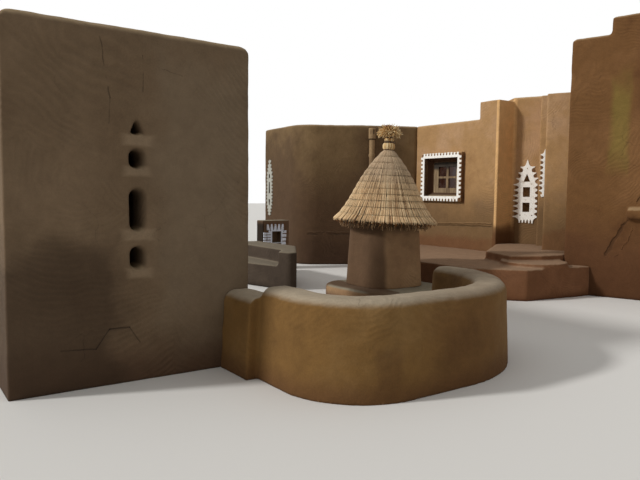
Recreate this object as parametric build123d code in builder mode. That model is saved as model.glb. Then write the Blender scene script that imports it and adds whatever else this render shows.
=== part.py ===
from build123d import *
import math
import os

# Adobe courtyard house, in millimetres.
# Origin: ground level under the middle of the granary. X runs along the front
# room's face, Y runs away from the lawn side, Z is up. Headings are degrees
# anticlockwise from X.

# Front room
front_room_left = -5765
front_room_front = -2349
front_room_width = 2070
front_room_depth = 3200
front_room_height = 2950
front_room_wall = 350
roof_slab = 170
parapet_rise = 240
front_room_round = 100
parapet_round = 60

# Vents in the front room's face, as heights of sill and head above the ground
vent_from_right_corner = 1052
vent_width = 114
vent_flare = 18
vent_flare_depth = 60
vent_roundness = 0.45
low_vent_sill, low_vent_head = 955, 1135
slot_vent_sill, slot_vent_head = 1274, 1617
high_vent_sill, high_vent_head = 1800, 1948
peak_vent_sill, peak_vent_head = 2080, 2211

# Doorways, all on sides away from the lawn
door_width = 850
door_height = 1950
front_room_door_from_front = 1250
wing_door_from_corner = 1700
block_door_from_corner = 1400

# Low courtyard wall
low_wall_base = 400
low_wall_top = 330
low_wall_height = 795
low_wall_start_height = 715
low_wall_round = 110
low_wall_past_corner = 5
low_wall_start_shift = 105
low_wall_start_length = 500
low_wall_left_length = 430
low_wall_corner_radius = 530
low_wall_front_length = 655
low_wall_sweep_radius = 1250

# Granary
plinth_side = 1600
plinth_corner = 500
plinth_height = 180
plinth_round = 70
bin_base_side = 1010
bin_top_side = 925
bin_corner = 280
bin_wall = 120
bin_floor = 100
bin_rim_height = 1150
thatch_eave_radius, thatch_eave_height = 818, 1205
thatch_skirt_radius, thatch_skirt_height = 634, 1440
thatch_waist_radius, thatch_waist_height = 476, 1740
thatch_shoulder_radius, thatch_shoulder_height = 237, 2120
thatch_neck_radius, thatch_neck_height = 74, 2300
thatch_lip_radius, thatch_lip_height = 600, 1080
thatch_seat_radius = 550
thatch_hollow_radius = 300
thatch_hollow_height = 420
knot_ring_radii = (95, 75, 63)
knot_ring_heights = (130, 65, 60)
knot_groove = 14
knot_groove_share = 0.4
tuft_radius = 175
tuft_height = 165
thatch_lean = 2.1
thatch_lean_heading = -35

# Mud seat with its raised back and arm
seat_front = -1295
seat_far_end = 3700
seat_bend, seat_arm_side = 2126, 1420
seat_height = 390
seat_depth = 450
seat_bend_inset = 190
seat_back_height = 630
seat_back_depth = 650
arm_inset = 120
arm_width = 400
arm_back_width = 330
arm_slant = 1230
arm_round = 110

# Lamp pedestal
pedestal_left, pedestal_front = 20, 3900
pedestal_width, pedestal_depth, pedestal_height = 645, 270, 1030
lamp_niche_width, lamp_niche_height, lamp_niche_depth = 235, 250, 150
lamp_niche_sill = 550
lamp_niche_from_left = 215

# Rear wing: its outer face, from the rounded corner to the recess
rear_wall = 420
rear_height = 3160
wing_corner_x, wing_corner_y = 1170, 4309
wing_corner_radius = 700
wing_left_length = 1690
wing_left_lean = 96
window_wall_x, window_wall_y = 3515, 2986
window_wall_length = 1810
pier_width = 496
pier_height = 3500
recess_depth = 455
recess_wall_height = 3580
recess_heading = -64.6

# Window
window_from_start = 350
window_width = 980
window_height = 834
window_sill = 1577
surround_width = 106
surround_projection = 80
reveal_splay = 84
casement_set_back = 126
casement_depth = 50
casement_side = 145
casement_rail = 100
casement_transom = 45
casement_post = 65
pane_thickness = 6

# Niches in the recess wall
niche_width = 144
niche_depth = 130
niche_along = 295
low_niche_sill, low_niche_head = 1280, 1474
mid_niche_sill, mid_niche_head = 1582, 1785
peak_niche_sill, peak_niche_head = 1886, 2059

# Piers beside the recess
pilaster_along = 565
pilaster_width, pilaster_projection = 170, 300
pilaster_height = 3540
small_pier_x, small_pier_y = 3258, -580
small_pier_height = 3430
small_pier_depth = 500

# Right block
block_x, block_y = 2741, -1368
block_heading = -71.7
block_front_length = 3038
block_depth = 4000
block_height = 4150
block_step_rise = 270
block_low_length = 600
ledge_sill, ledge_top = 1263, 1419
ledge_start = 948
ledge_projection = 120

# Rain pipe on the wing's face, with its wider head against the wall
pipe_radius = 62
pipe_head_radius = 80
pipe_head_height = 250
pipe_top = 3085
pipe_strap_height = 60
pipe_strap_thickness = 8
pipe_strap_levels = (900, 2450)
pipe_from_corner = 1642

# Raised floor in front of the window wall, with two steps on it
platform_height = 480
platform_front = 930
platform_left_end, platform_right_end = 1500, -950
platform_nose_x, platform_nose_y = 1500, -1600
platform_past_block = 430
recess_step_height = 640
step_left_x, step_left_y = 2124, -254
step_nose_x, step_nose_y = 1780, -1050
step_right_x, step_right_y = 2250, -1300
round_step_height = 550
round_step_x, round_step_y = 2180, -1200
round_step_radius = 520


def towards(heading):
    """Unit vector of a heading."""
    angle = math.radians(heading)
    return Vector(math.cos(angle), math.sin(angle))


def left_of(direction):
    """Unit vector square to a direction, on its left seen from above."""
    return Vector(-direction.Y, direction.X)


def crossing(point, direction, other_point, other_direction):
    """Where two plan lines cross."""
    between = other_point - point
    cross = direction.X * other_direction.Y - direction.Y * other_direction.X
    reach = (between.X * other_direction.Y - between.Y * other_direction.X) / cross
    return point + direction * reach


def inner_corners(outer, thickness):
    """Inner corners of a ring of walls, for outer corners given anticlockwise."""
    inner = []
    for index, here in enumerate(outer):
        coming = (here - outer[index - 1]).normalized()
        going = (outer[(index + 1) % len(outer)] - here).normalized()
        inward = left_of(coming) + left_of(going)
        reach = thickness / (1 + left_of(coming).dot(left_of(going)))
        inner.append(here + inward * reach)
    return inner


def wall_plan(outer, inner, index):
    """Four corners of the ring's wall from one outer corner to the next."""
    following = (index + 1) % len(outer)
    return [outer[index], outer[following], inner[following], inner[index]]


def prism(points, bottom, top):
    """Solid on a plan outline, from one height to another."""
    with BuildPart() as body:
        with BuildSketch(Plane.XY.offset(bottom)):
            with BuildLine():
                Polyline(*[(point.X, point.Y) for point in points], close=True)
            make_face()
        extrude(amount=top - bottom)
    return body.part


def round_top(radius):
    """Round the two long top edges of the wall being built."""
    top_face = faces().sort_by(Axis.Z)[-1]
    fillet(top_face.edges().sort_by(SortBy.LENGTH)[-2:], radius=radius)


def doorway(corner, direction, distance, thickness):
    """Opening from the ground up through a wall, placed along its outer face."""
    middle = corner + direction * (distance + door_width / 2) + left_of(direction) * thickness / 2
    sill = Plane(origin=(middle.X, middle.Y, 0), x_dir=(direction.X, direction.Y, 0), z_dir=(0, 0, 1))
    with BuildPart() as opening:
        with BuildSketch(sill):
            Rectangle(door_width, thickness * 2)
        extrude(amount=door_height)
    return opening.part


def face_plane(corner, direction):
    """Plane on a wall's outer face: x along the wall, y up, z out of the wall."""
    outward = left_of(direction) * -1
    return Plane(
        origin=(corner.X, corner.Y, 0),
        x_dir=(direction.X, direction.Y, 0),
        z_dir=(outward.X, outward.Y, 0),
    )


def peak_outline(centre, width, sill, head, grow):
    """Three-cornered opening with its point upwards."""
    half = width / 2 + grow
    corners = ((centre - half, sill - grow), (centre + half, sill - grow), (centre, head + 1.5 * grow))
    Polygon(*corners, align=None)


def keep(part, name):
    """Label a finished piece and write it."""
    part.label = name
    export_step(part, f"parts/{name}.step")


os.makedirs("parts", exist_ok=True)

# Front room ring, anticlockwise from the lawn side's left corner
front_room_right = front_room_left + front_room_width
front_room_back = front_room_front + front_room_depth
front_room_outer = [
    Vector(front_room_left, front_room_front),
    Vector(front_room_right, front_room_front),
    Vector(front_room_right, front_room_back),
    Vector(front_room_left, front_room_back),
]
front_room_inner = inner_corners(front_room_outer, front_room_wall)
lawn_face = face_plane(front_room_outer[0], Vector(1, 0))
vent_x = front_room_width - vent_from_right_corner


def vent_outline(sill, head, grow):
    """Rounded vent opening on the wall's face, grown by a margin all round."""
    width = vent_width + 2 * grow
    height = head - sill + 2 * grow
    with Locations((vent_x, (sill + head) / 2)):
        RectangleRounded(width, height, min(width, height) * vent_roundness)


def peak_vent_outline(grow):
    """Three-cornered vent on the wall's face, grown by a margin all round."""
    peak_outline(vent_x, vent_width, peak_vent_sill, peak_vent_head, grow)


with BuildPart() as front_room_front_wall:
    add(prism(wall_plan(front_room_outer, front_room_inner, 0), 0, front_room_height))
    round_top(front_room_round)
    for sill, head in (
        (low_vent_sill, low_vent_head),
        (slot_vent_sill, slot_vent_head),
        (high_vent_sill, high_vent_head),
    ):
        with BuildSketch(lawn_face):
            vent_outline(sill, head, 0)
        extrude(amount=-front_room_wall, mode=Mode.SUBTRACT)
        with BuildSketch(lawn_face):
            vent_outline(sill, head, vent_flare)
        with BuildSketch(lawn_face.offset(-vent_flare_depth)):
            vent_outline(sill, head, 0)
        loft(mode=Mode.SUBTRACT)
    with BuildSketch(lawn_face):
        peak_vent_outline(0)
    extrude(amount=-front_room_wall, mode=Mode.SUBTRACT)
    with BuildSketch(lawn_face):
        peak_vent_outline(vent_flare)
    with BuildSketch(lawn_face.offset(-vent_flare_depth)):
        peak_vent_outline(0)
    loft(mode=Mode.SUBTRACT)
keep(front_room_front_wall.part, "front_room_front_wall")

with BuildPart() as front_room_right_wall:
    add(prism(wall_plan(front_room_outer, front_room_inner, 1), 0, front_room_height))
    round_top(front_room_round)
    front_room_doorway = doorway(
        front_room_outer[1], Vector(0, 1), front_room_door_from_front, front_room_wall
    )
    add(front_room_doorway, mode=Mode.SUBTRACT)
keep(front_room_right_wall.part, "front_room_right_wall")

for index, wall_name in ((2, "front_room_back_wall"), (3, "front_room_left_wall")):
    with BuildPart() as front_room_plain_wall:
        add(prism(wall_plan(front_room_outer, front_room_inner, index), 0, front_room_height))
        round_top(front_room_round)
    keep(front_room_plain_wall.part, wall_name)

front_roof_top = front_room_height - parapet_rise
with BuildPart() as front_room_roof:
    add(prism(front_room_inner, front_roof_top - roof_slab, front_roof_top))
keep(front_room_roof.part, "front_room_roof")


# Low courtyard wall: from the front room's corner towards the lawn, round a
# corner, along the front, and round a wide sweep back into the courtyard
def low_wall_outline(height):
    """Battered section with a rounded top, centred on the wall's line."""
    foot, top = low_wall_base / 2, low_wall_top / 2
    Polygon((-foot, 0), (foot, 0), (top, height), (-top, height), align=None)
    fillet(vertices().group_by(Axis.Y)[-1], radius=low_wall_round)


def section_plane(point, direction):
    """Upright plane across the wall's line, looking along it, with x to the left."""
    left = left_of(direction)
    return Plane(origin=(point.X, point.Y, 0), x_dir=(left.X, left.Y, 0), z_dir=(direction.X, direction.Y, 0))


def low_wall_run(start, direction, length, height):
    """Straight stretch of the low wall."""
    with BuildPart() as run:
        with BuildSketch(section_plane(start, direction)):
            low_wall_outline(height)
        extrude(amount=length)
    return run.part


def low_wall_bend(start, direction, radius, turn):
    """Stretch of the low wall that turns left by an angle in degrees."""
    centre = start + left_of(direction) * radius
    with BuildPart() as bend:
        with BuildSketch(section_plane(start, direction)):
            low_wall_outline(low_wall_height)
        revolve(axis=Axis((centre.X, centre.Y, 0), (0, 0, 1)), revolution_arc=turn)
    return bend.part


towards_lawn = Vector(0, -1)
along_front = Vector(1, 0)
start_point = Vector(front_room_right + low_wall_past_corner, front_room_front)
left_point = start_point + towards_lawn * low_wall_start_length
corner_point = left_point + towards_lawn * low_wall_left_length
front_point = corner_point + Vector(low_wall_corner_radius, -low_wall_corner_radius)
sweep_point = front_point + along_front * low_wall_front_length
sweep_centre = sweep_point + left_of(along_front) * low_wall_sweep_radius

with BuildPart() as low_wall_start:
    shifted_start = start_point - along_front * low_wall_start_shift
    add(low_wall_run(shifted_start, towards_lawn, low_wall_start_length, low_wall_start_height))
keep(low_wall_start.part, "low_wall_start")

with BuildPart() as low_wall_left_run:
    add(low_wall_run(left_point, towards_lawn, low_wall_left_length, low_wall_height))
keep(low_wall_left_run.part, "low_wall_left_run")

with BuildPart() as low_wall_corner:
    add(low_wall_bend(corner_point, towards_lawn, low_wall_corner_radius, 90))
keep(low_wall_corner.part, "low_wall_corner")

with BuildPart() as low_wall_front_run:
    add(low_wall_run(front_point, along_front, low_wall_front_length, low_wall_height))
keep(low_wall_front_run.part, "low_wall_front_run")

sweep_names = ("low_wall_sweep_near", "low_wall_sweep_middle", "low_wall_sweep_far")
sweep_turn = 90 / len(sweep_names)
for index, sweep_name in enumerate(sweep_names):
    sweep_direction = towards(index * sweep_turn)
    sweep_start = sweep_centre - left_of(sweep_direction) * low_wall_sweep_radius
    with BuildPart() as low_wall_sweep:
        add(low_wall_bend(sweep_start, sweep_direction, low_wall_sweep_radius, sweep_turn))
    keep(low_wall_sweep.part, sweep_name)

end_point = sweep_centre + Vector(low_wall_sweep_radius, 0)
with BuildPart() as low_wall_end:
    with BuildSketch(section_plane(end_point, Vector(0, 1))):
        low_wall_outline(low_wall_height)
        with Locations((low_wall_base / 2, low_wall_height / 2)):
            Rectangle(low_wall_base, low_wall_height, mode=Mode.SUBTRACT)
    revolve(axis=Axis((end_point.X, end_point.Y, 0), (0, 0, 1)), revolution_arc=180)
keep(low_wall_end.part, "low_wall_end")

# Granary: mud plinth, hollow mud bin, thatched cap and its tied top
with BuildPart() as granary_plinth:
    with BuildSketch():
        RectangleRounded(plinth_side, plinth_side, plinth_corner)
    extrude(amount=plinth_height)
    fillet(faces().sort_by(Axis.Z)[-1].edges(), radius=plinth_round)
keep(granary_plinth.part, "granary_plinth")


def bin_outline(height, side, corner):
    """Square outline with soft corners at one height of the bin."""
    with BuildSketch(Plane.XY.offset(height)) as outline:
        RectangleRounded(side, side, corner)
    return outline.sketch


inner_corner = bin_corner - bin_wall / 2
with BuildPart() as granary_bin:
    add(bin_outline(plinth_height, bin_base_side, bin_corner))
    add(bin_outline(bin_rim_height, bin_top_side, bin_corner))
    loft()
    add(bin_outline(plinth_height + bin_floor, bin_base_side - 2 * bin_wall, inner_corner))
    add(bin_outline(bin_rim_height, bin_top_side - 2 * bin_wall, inner_corner))
    loft(mode=Mode.SUBTRACT)
keep(granary_bin.part, "granary_bin")

# The cap and its topknot lean a little; the cap's seat on the bin stays level
lean_towards = towards(thatch_lean_heading)
lean_axis = Axis((0, 0, bin_rim_height), (-lean_towards.Y, lean_towards.X, 0))

with BuildPart() as straight_cap:
    with BuildSketch(Plane.XZ):
        with BuildLine():
            Spline(
                (thatch_eave_radius, thatch_eave_height),
                (thatch_skirt_radius, thatch_skirt_height),
                (thatch_waist_radius, thatch_waist_height),
                (thatch_shoulder_radius, thatch_shoulder_height),
                (thatch_neck_radius, thatch_neck_height),
            )
            Polyline(
                (thatch_neck_radius, thatch_neck_height),
                (0, thatch_neck_height),
                (0, thatch_lip_height),
                (thatch_lip_radius, thatch_lip_height),
                (thatch_eave_radius, thatch_eave_height),
            )
        make_face()
    revolve(axis=Axis.Z)

with BuildPart() as granary_thatch:
    add(straight_cap.part.rotate(lean_axis, thatch_lean))
    with BuildSketch():
        Circle(thatch_seat_radius)
    extrude(amount=bin_rim_height, mode=Mode.SUBTRACT)
    with BuildSketch(Plane.XZ):
        Polygon(
            (0, bin_rim_height),
            (thatch_hollow_radius, bin_rim_height),
            (0, bin_rim_height + thatch_hollow_height),
            align=None,
        )
    revolve(axis=Axis.Z, mode=Mode.SUBTRACT)
keep(granary_thatch.part, "granary_thatch")

with BuildPart() as straight_knot:
    level = thatch_neck_height
    for ring_radius, ring_height in zip(knot_ring_radii, knot_ring_heights):
        groove_height = ring_height * knot_groove_share
        with BuildSketch(Plane.XY.offset(level)):
            Circle(ring_radius - knot_groove)
        extrude(amount=ring_height)
        with BuildSketch(Plane.XY.offset(level)):
            Circle(ring_radius)
        extrude(amount=ring_height - groove_height)
        level += ring_height
    with BuildSketch(Plane.XY.offset(level)):
        Circle(knot_ring_radii[-1] - knot_groove)
    with BuildSketch(Plane.XY.offset(level + tuft_height)):
        Circle(tuft_radius)
    loft()
with BuildPart() as granary_topknot:
    add(straight_knot.part.rotate(lean_axis, thatch_lean))
keep(granary_topknot.part, "granary_topknot")

# Mud seat by the wing: a low bench, and a raised back that comes round as an arm
seat_front_line = [
    Vector(seat_front, seat_far_end),
    Vector(seat_front, seat_bend),
    Vector(seat_front + seat_bend_inset, seat_arm_side),
]
back_front_line = [
    Vector(seat_front + seat_depth, seat_far_end),
    Vector(seat_front + seat_depth, seat_arm_side + arm_back_width),
]
arm_nose = Vector(seat_front + seat_bend_inset + arm_inset, seat_arm_side - arm_width)
back_end = arm_nose + Vector(seat_back_depth + arm_inset, arm_slant)
back_far = Vector(seat_front + seat_depth + seat_back_depth, seat_far_end)

with BuildPart() as mud_seat:
    add(prism(seat_front_line + back_front_line[::-1], 0, seat_height))
keep(mud_seat.part, "mud_seat")

with BuildPart() as mud_seat_back:
    add(prism(back_front_line + [seat_front_line[-1], arm_nose, back_end, back_far], 0, seat_back_height))
    fillet(edges().filter_by(Axis.Z).sort_by(Axis.Y)[:1], radius=arm_round)
keep(mud_seat_back.part, "mud_seat_back")

# Lamp pedestal with a square niche
with BuildPart() as lamp_pedestal:
    with BuildSketch():
        with Locations((pedestal_left + pedestal_width / 2, pedestal_front + pedestal_depth / 2)):
            Rectangle(pedestal_width, pedestal_depth)
    extrude(amount=pedestal_height)
    with BuildSketch(face_plane(Vector(pedestal_left, pedestal_front), Vector(1, 0))):
        with Locations((
            lamp_niche_from_left + lamp_niche_width / 2,
            lamp_niche_sill + lamp_niche_height / 2,
        )):
            Rectangle(lamp_niche_width, lamp_niche_height)
    extrude(amount=-lamp_niche_depth, mode=Mode.SUBTRACT)
keep(lamp_pedestal.part, "lamp_pedestal")

# Rear wing and right block rings, anticlockwise
wing_corner = Vector(wing_corner_x, wing_corner_y)
window_start = Vector(window_wall_x, window_wall_y)
pier_corner = window_start + Vector(0, -window_wall_length - pier_width)
recess_corner = pier_corner + Vector(recess_depth, 0)
recess_direction = towards(recess_heading)
block_corner = Vector(block_x, block_y)
block_direction = towards(block_heading)
block_side = left_of(block_direction)
block_outer = [
    block_corner,
    block_corner + block_direction * block_front_length,
    block_corner + block_direction * block_front_length + block_side * block_depth,
    block_corner + block_side * block_depth,
]
block_inner = inner_corners(block_outer, rear_wall)
recess_end = crossing(recess_corner, recess_direction, block_corner, block_side)
wing_left_back = wing_corner + Vector(wing_left_lean, wing_left_length)
wing_right_back = Vector(block_outer[3].X, wing_left_back.Y)
wing_outer = [
    wing_corner,
    window_start,
    pier_corner,
    recess_corner,
    recess_end,
    block_outer[3],
    wing_right_back,
    wing_left_back,
]
wing_inner = inner_corners(wing_outer, rear_wall)

# Rounded corner of the wing, between its left and front walls
front_going = (window_start - wing_corner).normalized()
left_coming = (wing_corner - wing_left_back).normalized()
half_turn = math.acos(left_coming.dot(front_going)) / 2
corner_reach = wing_corner_radius * math.tan(half_turn)
corner_before = wing_corner - left_coming * corner_reach
corner_after = wing_corner + front_going * corner_reach
corner_centre = corner_before + left_of(left_coming) * wing_corner_radius
corner_outwards = (wing_corner - corner_centre).normalized()
inner_before = corner_before + left_of(left_coming) * rear_wall
inner_after = corner_after + left_of(front_going) * rear_wall


def corner_arc(start, radius, end):
    """Arc round the wing's corner, from one plan point to another."""
    middle = corner_centre + corner_outwards * radius
    ThreePointArc((start.X, start.Y), (middle.X, middle.Y), (end.X, end.Y))


with BuildPart() as wing_rounded_corner:
    with BuildSketch():
        with BuildLine():
            corner_arc(corner_before, wing_corner_radius, corner_after)
            Line((corner_after.X, corner_after.Y), (inner_after.X, inner_after.Y))
            corner_arc(inner_after, wing_corner_radius - rear_wall, inner_before)
            Line((inner_before.X, inner_before.Y), (corner_before.X, corner_before.Y))
        make_face()
    extrude(amount=rear_height)
    fillet(faces().sort_by(Axis.Z)[-1].edges().filter_by(GeomType.CIRCLE), radius=parapet_round)
keep(wing_rounded_corner.part, "wing_rounded_corner")

with BuildPart() as wing_left_wall:
    add(prism([wing_left_back, corner_before, inner_before, wing_inner[7]], 0, rear_height))
    round_top(parapet_round)
keep(wing_left_wall.part, "wing_left_wall")

with BuildPart() as wing_front_wall:
    add(prism([corner_after, window_start, wing_inner[1], inner_after], 0, rear_height))
    round_top(parapet_round)
keep(wing_front_wall.part, "wing_front_wall")

# Window wall up to the pier, with the window's surround, casement and panes
pier_start = window_start + Vector(0, -window_wall_length)
pier_start_inner = pier_start + Vector(rear_wall, 0)
window_face = face_plane(window_start, Vector(0, -1))
window_middle = window_from_start + window_width / 2
window_centre = (window_middle, window_sill + window_height / 2)
casement_width = window_width - 2 * reveal_splay
casement_height = window_height - 2 * reveal_splay
casement_face = window_face.offset(-casement_set_back)

with BuildPart() as window_wall:
    add(prism([window_start, pier_start, pier_start_inner, wing_inner[1]], 0, rear_height))
    round_top(parapet_round)
    with BuildSketch(window_face):
        with Locations(window_centre):
            Rectangle(window_width, window_height)
    with BuildSketch(casement_face):
        with Locations(window_centre):
            Rectangle(casement_width, casement_height)
    loft(mode=Mode.SUBTRACT)
    with BuildSketch(casement_face):
        with Locations(window_centre):
            Rectangle(casement_width, casement_height)
    extrude(amount=-rear_wall * 2, mode=Mode.SUBTRACT)
keep(window_wall.part, "window_wall")

with BuildPart() as window_surround:
    with BuildSketch(window_face):
        with Locations(window_centre):
            Rectangle(window_width + 2 * surround_width, window_height + 2 * surround_width)
            Rectangle(window_width, window_height, mode=Mode.SUBTRACT)
    extrude(amount=surround_projection)
keep(window_surround.part, "window_surround")

pane_width = (casement_width - casement_post - 2 * casement_side) / 2
pane_height = (casement_height - casement_transom - 2 * casement_rail) / 2
pane_spacing_x = pane_width + casement_post
pane_spacing_y = pane_height + casement_transom


def pane_outlines(mode):
    """Four panes in the sketch being drawn, two wide and two high."""
    with Locations(window_centre):
        with GridLocations(pane_spacing_x, pane_spacing_y, 2, 2):
            Rectangle(pane_width, pane_height, mode=mode)


with BuildPart() as window_casement:
    with BuildSketch(casement_face):
        with Locations(window_centre):
            Rectangle(casement_width, casement_height)
        pane_outlines(Mode.SUBTRACT)
    extrude(amount=-casement_depth)
keep(window_casement.part, "window_casement")

with BuildPart() as window_panes:
    with BuildSketch(casement_face.offset(-(casement_depth - pane_thickness) / 2)):
        pane_outlines(Mode.ADD)
    extrude(amount=-pane_thickness)
keep(window_panes.part, "window_panes")

with BuildPart() as corner_pier:
    corner_pier_plan = [
        pier_start, pier_corner, recess_corner, wing_inner[3], wing_inner[2], pier_start_inner,
    ]
    add(prism(corner_pier_plan, 0, pier_height))
keep(corner_pier.part, "corner_pier")

# Recess wall with its stack of niches
recess_face = face_plane(recess_corner, recess_direction)
with BuildPart() as recess_wall:
    add(prism(wall_plan(wing_outer, wing_inner, 3), 0, recess_wall_height))
    round_top(parapet_round)
    for sill, head in ((low_niche_sill, low_niche_head), (mid_niche_sill, mid_niche_head)):
        with BuildSketch(recess_face):
            with Locations((niche_along, (sill + head) / 2)):
                Rectangle(niche_width, head - sill)
        extrude(amount=-niche_depth, mode=Mode.SUBTRACT)
    with BuildSketch(recess_face):
        peak_outline(niche_along, niche_width, peak_niche_sill, peak_niche_head, 0)
    extrude(amount=-niche_depth, mode=Mode.SUBTRACT)
keep(recess_wall.part, "recess_wall")

for index, wall_name in ((4, "wing_party_wall"), (5, "wing_right_wall")):
    with BuildPart() as wing_plain_wall:
        add(prism(wall_plan(wing_outer, wing_inner, index), 0, rear_height))
        round_top(parapet_round)
    keep(wing_plain_wall.part, wall_name)

with BuildPart() as wing_back_wall:
    add(prism(wall_plan(wing_outer, wing_inner, 6), 0, rear_height))
    round_top(parapet_round)
    add(doorway(wing_right_back, Vector(-1, 0), wing_door_from_corner, rear_wall), mode=Mode.SUBTRACT)
keep(wing_back_wall.part, "wing_back_wall")

rear_roof_top = rear_height - parapet_rise
with BuildPart() as wing_roof:
    add(prism([inner_after] + wing_inner[1:] + [inner_before], rear_roof_top - roof_slab, rear_roof_top))
keep(wing_roof.part, "wing_roof")

# Pilaster on the recess wall, and the small pier against the block's side
recess_out = left_of(recess_direction) * -1
pilaster_root = recess_corner + recess_direction * pilaster_along
pilaster_front = pilaster_root + recess_out * pilaster_projection
pilaster_front_end = pilaster_front + recess_direction * pilaster_width
pilaster_root_end = pilaster_root + recess_direction * pilaster_width
with BuildPart() as pilaster:
    add(prism([pilaster_front, pilaster_front_end, pilaster_root_end, pilaster_root], 0, pilaster_height))
keep(pilaster.part, "pilaster")

pier_face_start = Vector(small_pier_x, small_pier_y)
pier_face_end = crossing(pier_face_start, recess_direction, block_corner, block_side)
pier_back_start = pier_face_start + block_side * small_pier_depth
pier_back_end = pier_face_end + block_side * small_pier_depth
with BuildPart() as small_pier:
    add(prism([pier_face_start, pier_face_end, pier_back_end, pier_back_start], 0, small_pier_height))
keep(small_pier.part, "small_pier")

# Right block: its front parapet steps up a little way from the corner
def block_wall(index, height):
    """Wall of the block, up to a height."""
    with BuildPart() as wall:
        add(prism(wall_plan(block_outer, block_inner, index), 0, height))
        round_top(parapet_round)
    return wall.part


block_high_height = block_height + block_step_rise
step_up = block_corner + block_direction * block_low_length
low_stretch = [
    block_corner - block_side * rear_wall,
    step_up - block_side * rear_wall,
    step_up + block_side * rear_wall * 2,
    block_corner + block_side * rear_wall * 2,
]
with BuildPart() as block_front_wall:
    add(block_wall(0, block_high_height))
    add(prism(low_stretch, block_height - parapet_rise, block_high_height), mode=Mode.SUBTRACT)
    add(block_wall(0, block_height))
keep(block_front_wall.part, "block_front_wall")
keep(block_wall(1, block_high_height), "block_right_wall")
keep(block_wall(3, block_height), "block_left_wall")

with BuildPart() as block_back_wall:
    add(prism(wall_plan(block_outer, block_inner, 2), 0, block_height))
    round_top(parapet_round)
    block_doorway = doorway(block_outer[2], block_direction * -1, block_door_from_corner, rear_wall)
    add(block_doorway, mode=Mode.SUBTRACT)
keep(block_back_wall.part, "block_back_wall")

block_roof_top = block_height - parapet_rise
with BuildPart() as block_roof:
    add(prism(block_inner, block_roof_top - roof_slab, block_roof_top))
keep(block_roof.part, "block_roof")

ledge_from = block_corner + block_direction * ledge_start
ledge_to = block_outer[1]
ledge_out = block_side * -ledge_projection
with BuildPart() as block_ledge:
    add(prism([ledge_from + ledge_out, ledge_to + ledge_out, ledge_to, ledge_from], ledge_sill, ledge_top))
keep(block_ledge.part, "block_ledge")

# Rain pipe with a wider head, strapped to the wing's face
pipe_side = left_of(front_going) * -1
pipe_foot = wing_corner + front_going * pipe_from_corner + pipe_side * pipe_head_radius


def pipe_plane(height):
    """Level plane on the pipe's axis, with y towards the wing's face."""
    return Plane(
        origin=(pipe_foot.X, pipe_foot.Y, height),
        x_dir=(front_going.X, front_going.Y, 0),
        z_dir=(0, 0, 1),
    )


with BuildPart() as rain_pipe:
    with BuildSketch(pipe_plane(0)):
        Circle(pipe_radius)
    extrude(amount=pipe_top)
    with BuildSketch(pipe_plane(pipe_top - pipe_head_height)):
        Circle(pipe_head_radius)
    extrude(amount=pipe_head_height)
    for strap_level in pipe_strap_levels:
        with BuildSketch(pipe_plane(strap_level)):
            Circle(pipe_radius + pipe_strap_thickness)
            with Locations((0, pipe_head_radius / 2)):
                Rectangle(pipe_radius * 2, pipe_head_radius)
        extrude(amount=pipe_strap_height)
keep(rain_pipe.part, "rain_pipe")

# Raised floor with a step in the recess and a rounded step in front of it
block_to_window = [
    block_corner,
    pier_face_end,
    pier_face_start,
    pier_back_start,
    pier_back_end,
    recess_end,
    pilaster_root_end,
    pilaster_front_end,
    pilaster_front,
    pilaster_root,
    recess_corner,
    pier_corner,
]
platform_outline = [
    Vector(platform_front, platform_left_end),
    Vector(platform_front, platform_right_end),
    Vector(platform_nose_x, platform_nose_y),
    block_corner + block_direction * platform_past_block,
] + block_to_window + [window_start]
with BuildPart() as platform:
    add(prism(platform_outline, 0, platform_height))
keep(platform.part, "platform")

step_outline = [
    Vector(step_left_x, step_left_y),
    Vector(step_nose_x, step_nose_y),
    Vector(step_right_x, step_right_y),
] + block_to_window
recess_step_solid = prism(step_outline, platform_height, recess_step_height)
with BuildPart() as recess_step:
    add(recess_step_solid)
keep(recess_step.part, "recess_step")

with BuildPart() as round_step:
    with BuildSketch(Plane.XY.offset(platform_height)):
        with Locations((round_step_x, round_step_y)):
            Circle(round_step_radius)
    extrude(amount=round_step_height - platform_height)
    add(recess_step_solid, mode=Mode.SUBTRACT)
keep(round_step.part, "round_step")
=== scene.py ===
import logging
import math
import random
from collections.abc import Iterable, Sequence
from dataclasses import dataclass, field
from enum import Enum

import bpy
import numpy as np
from mathutils import Euler, Matrix, Vector


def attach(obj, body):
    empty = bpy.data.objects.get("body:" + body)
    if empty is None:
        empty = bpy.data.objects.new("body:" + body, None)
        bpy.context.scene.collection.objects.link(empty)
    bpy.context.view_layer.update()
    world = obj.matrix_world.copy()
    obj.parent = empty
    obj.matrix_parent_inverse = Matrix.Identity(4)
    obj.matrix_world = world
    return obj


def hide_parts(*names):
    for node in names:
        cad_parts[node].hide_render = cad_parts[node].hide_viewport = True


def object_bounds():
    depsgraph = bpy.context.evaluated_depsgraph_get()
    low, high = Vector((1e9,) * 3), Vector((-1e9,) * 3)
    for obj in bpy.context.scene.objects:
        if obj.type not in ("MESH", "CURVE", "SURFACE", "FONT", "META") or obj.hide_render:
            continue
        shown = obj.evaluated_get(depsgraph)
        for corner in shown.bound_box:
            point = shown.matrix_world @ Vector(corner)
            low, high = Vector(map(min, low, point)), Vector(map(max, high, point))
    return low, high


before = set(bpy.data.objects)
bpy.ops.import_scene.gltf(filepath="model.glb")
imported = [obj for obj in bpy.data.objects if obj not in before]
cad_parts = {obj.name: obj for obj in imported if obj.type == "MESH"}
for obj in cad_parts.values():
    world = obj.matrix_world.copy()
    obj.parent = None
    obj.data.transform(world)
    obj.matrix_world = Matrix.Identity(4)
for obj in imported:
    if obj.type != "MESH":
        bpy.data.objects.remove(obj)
CAD_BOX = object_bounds()
BODY = "root"
LOG = logging.getLogger("adobe_house")

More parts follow.
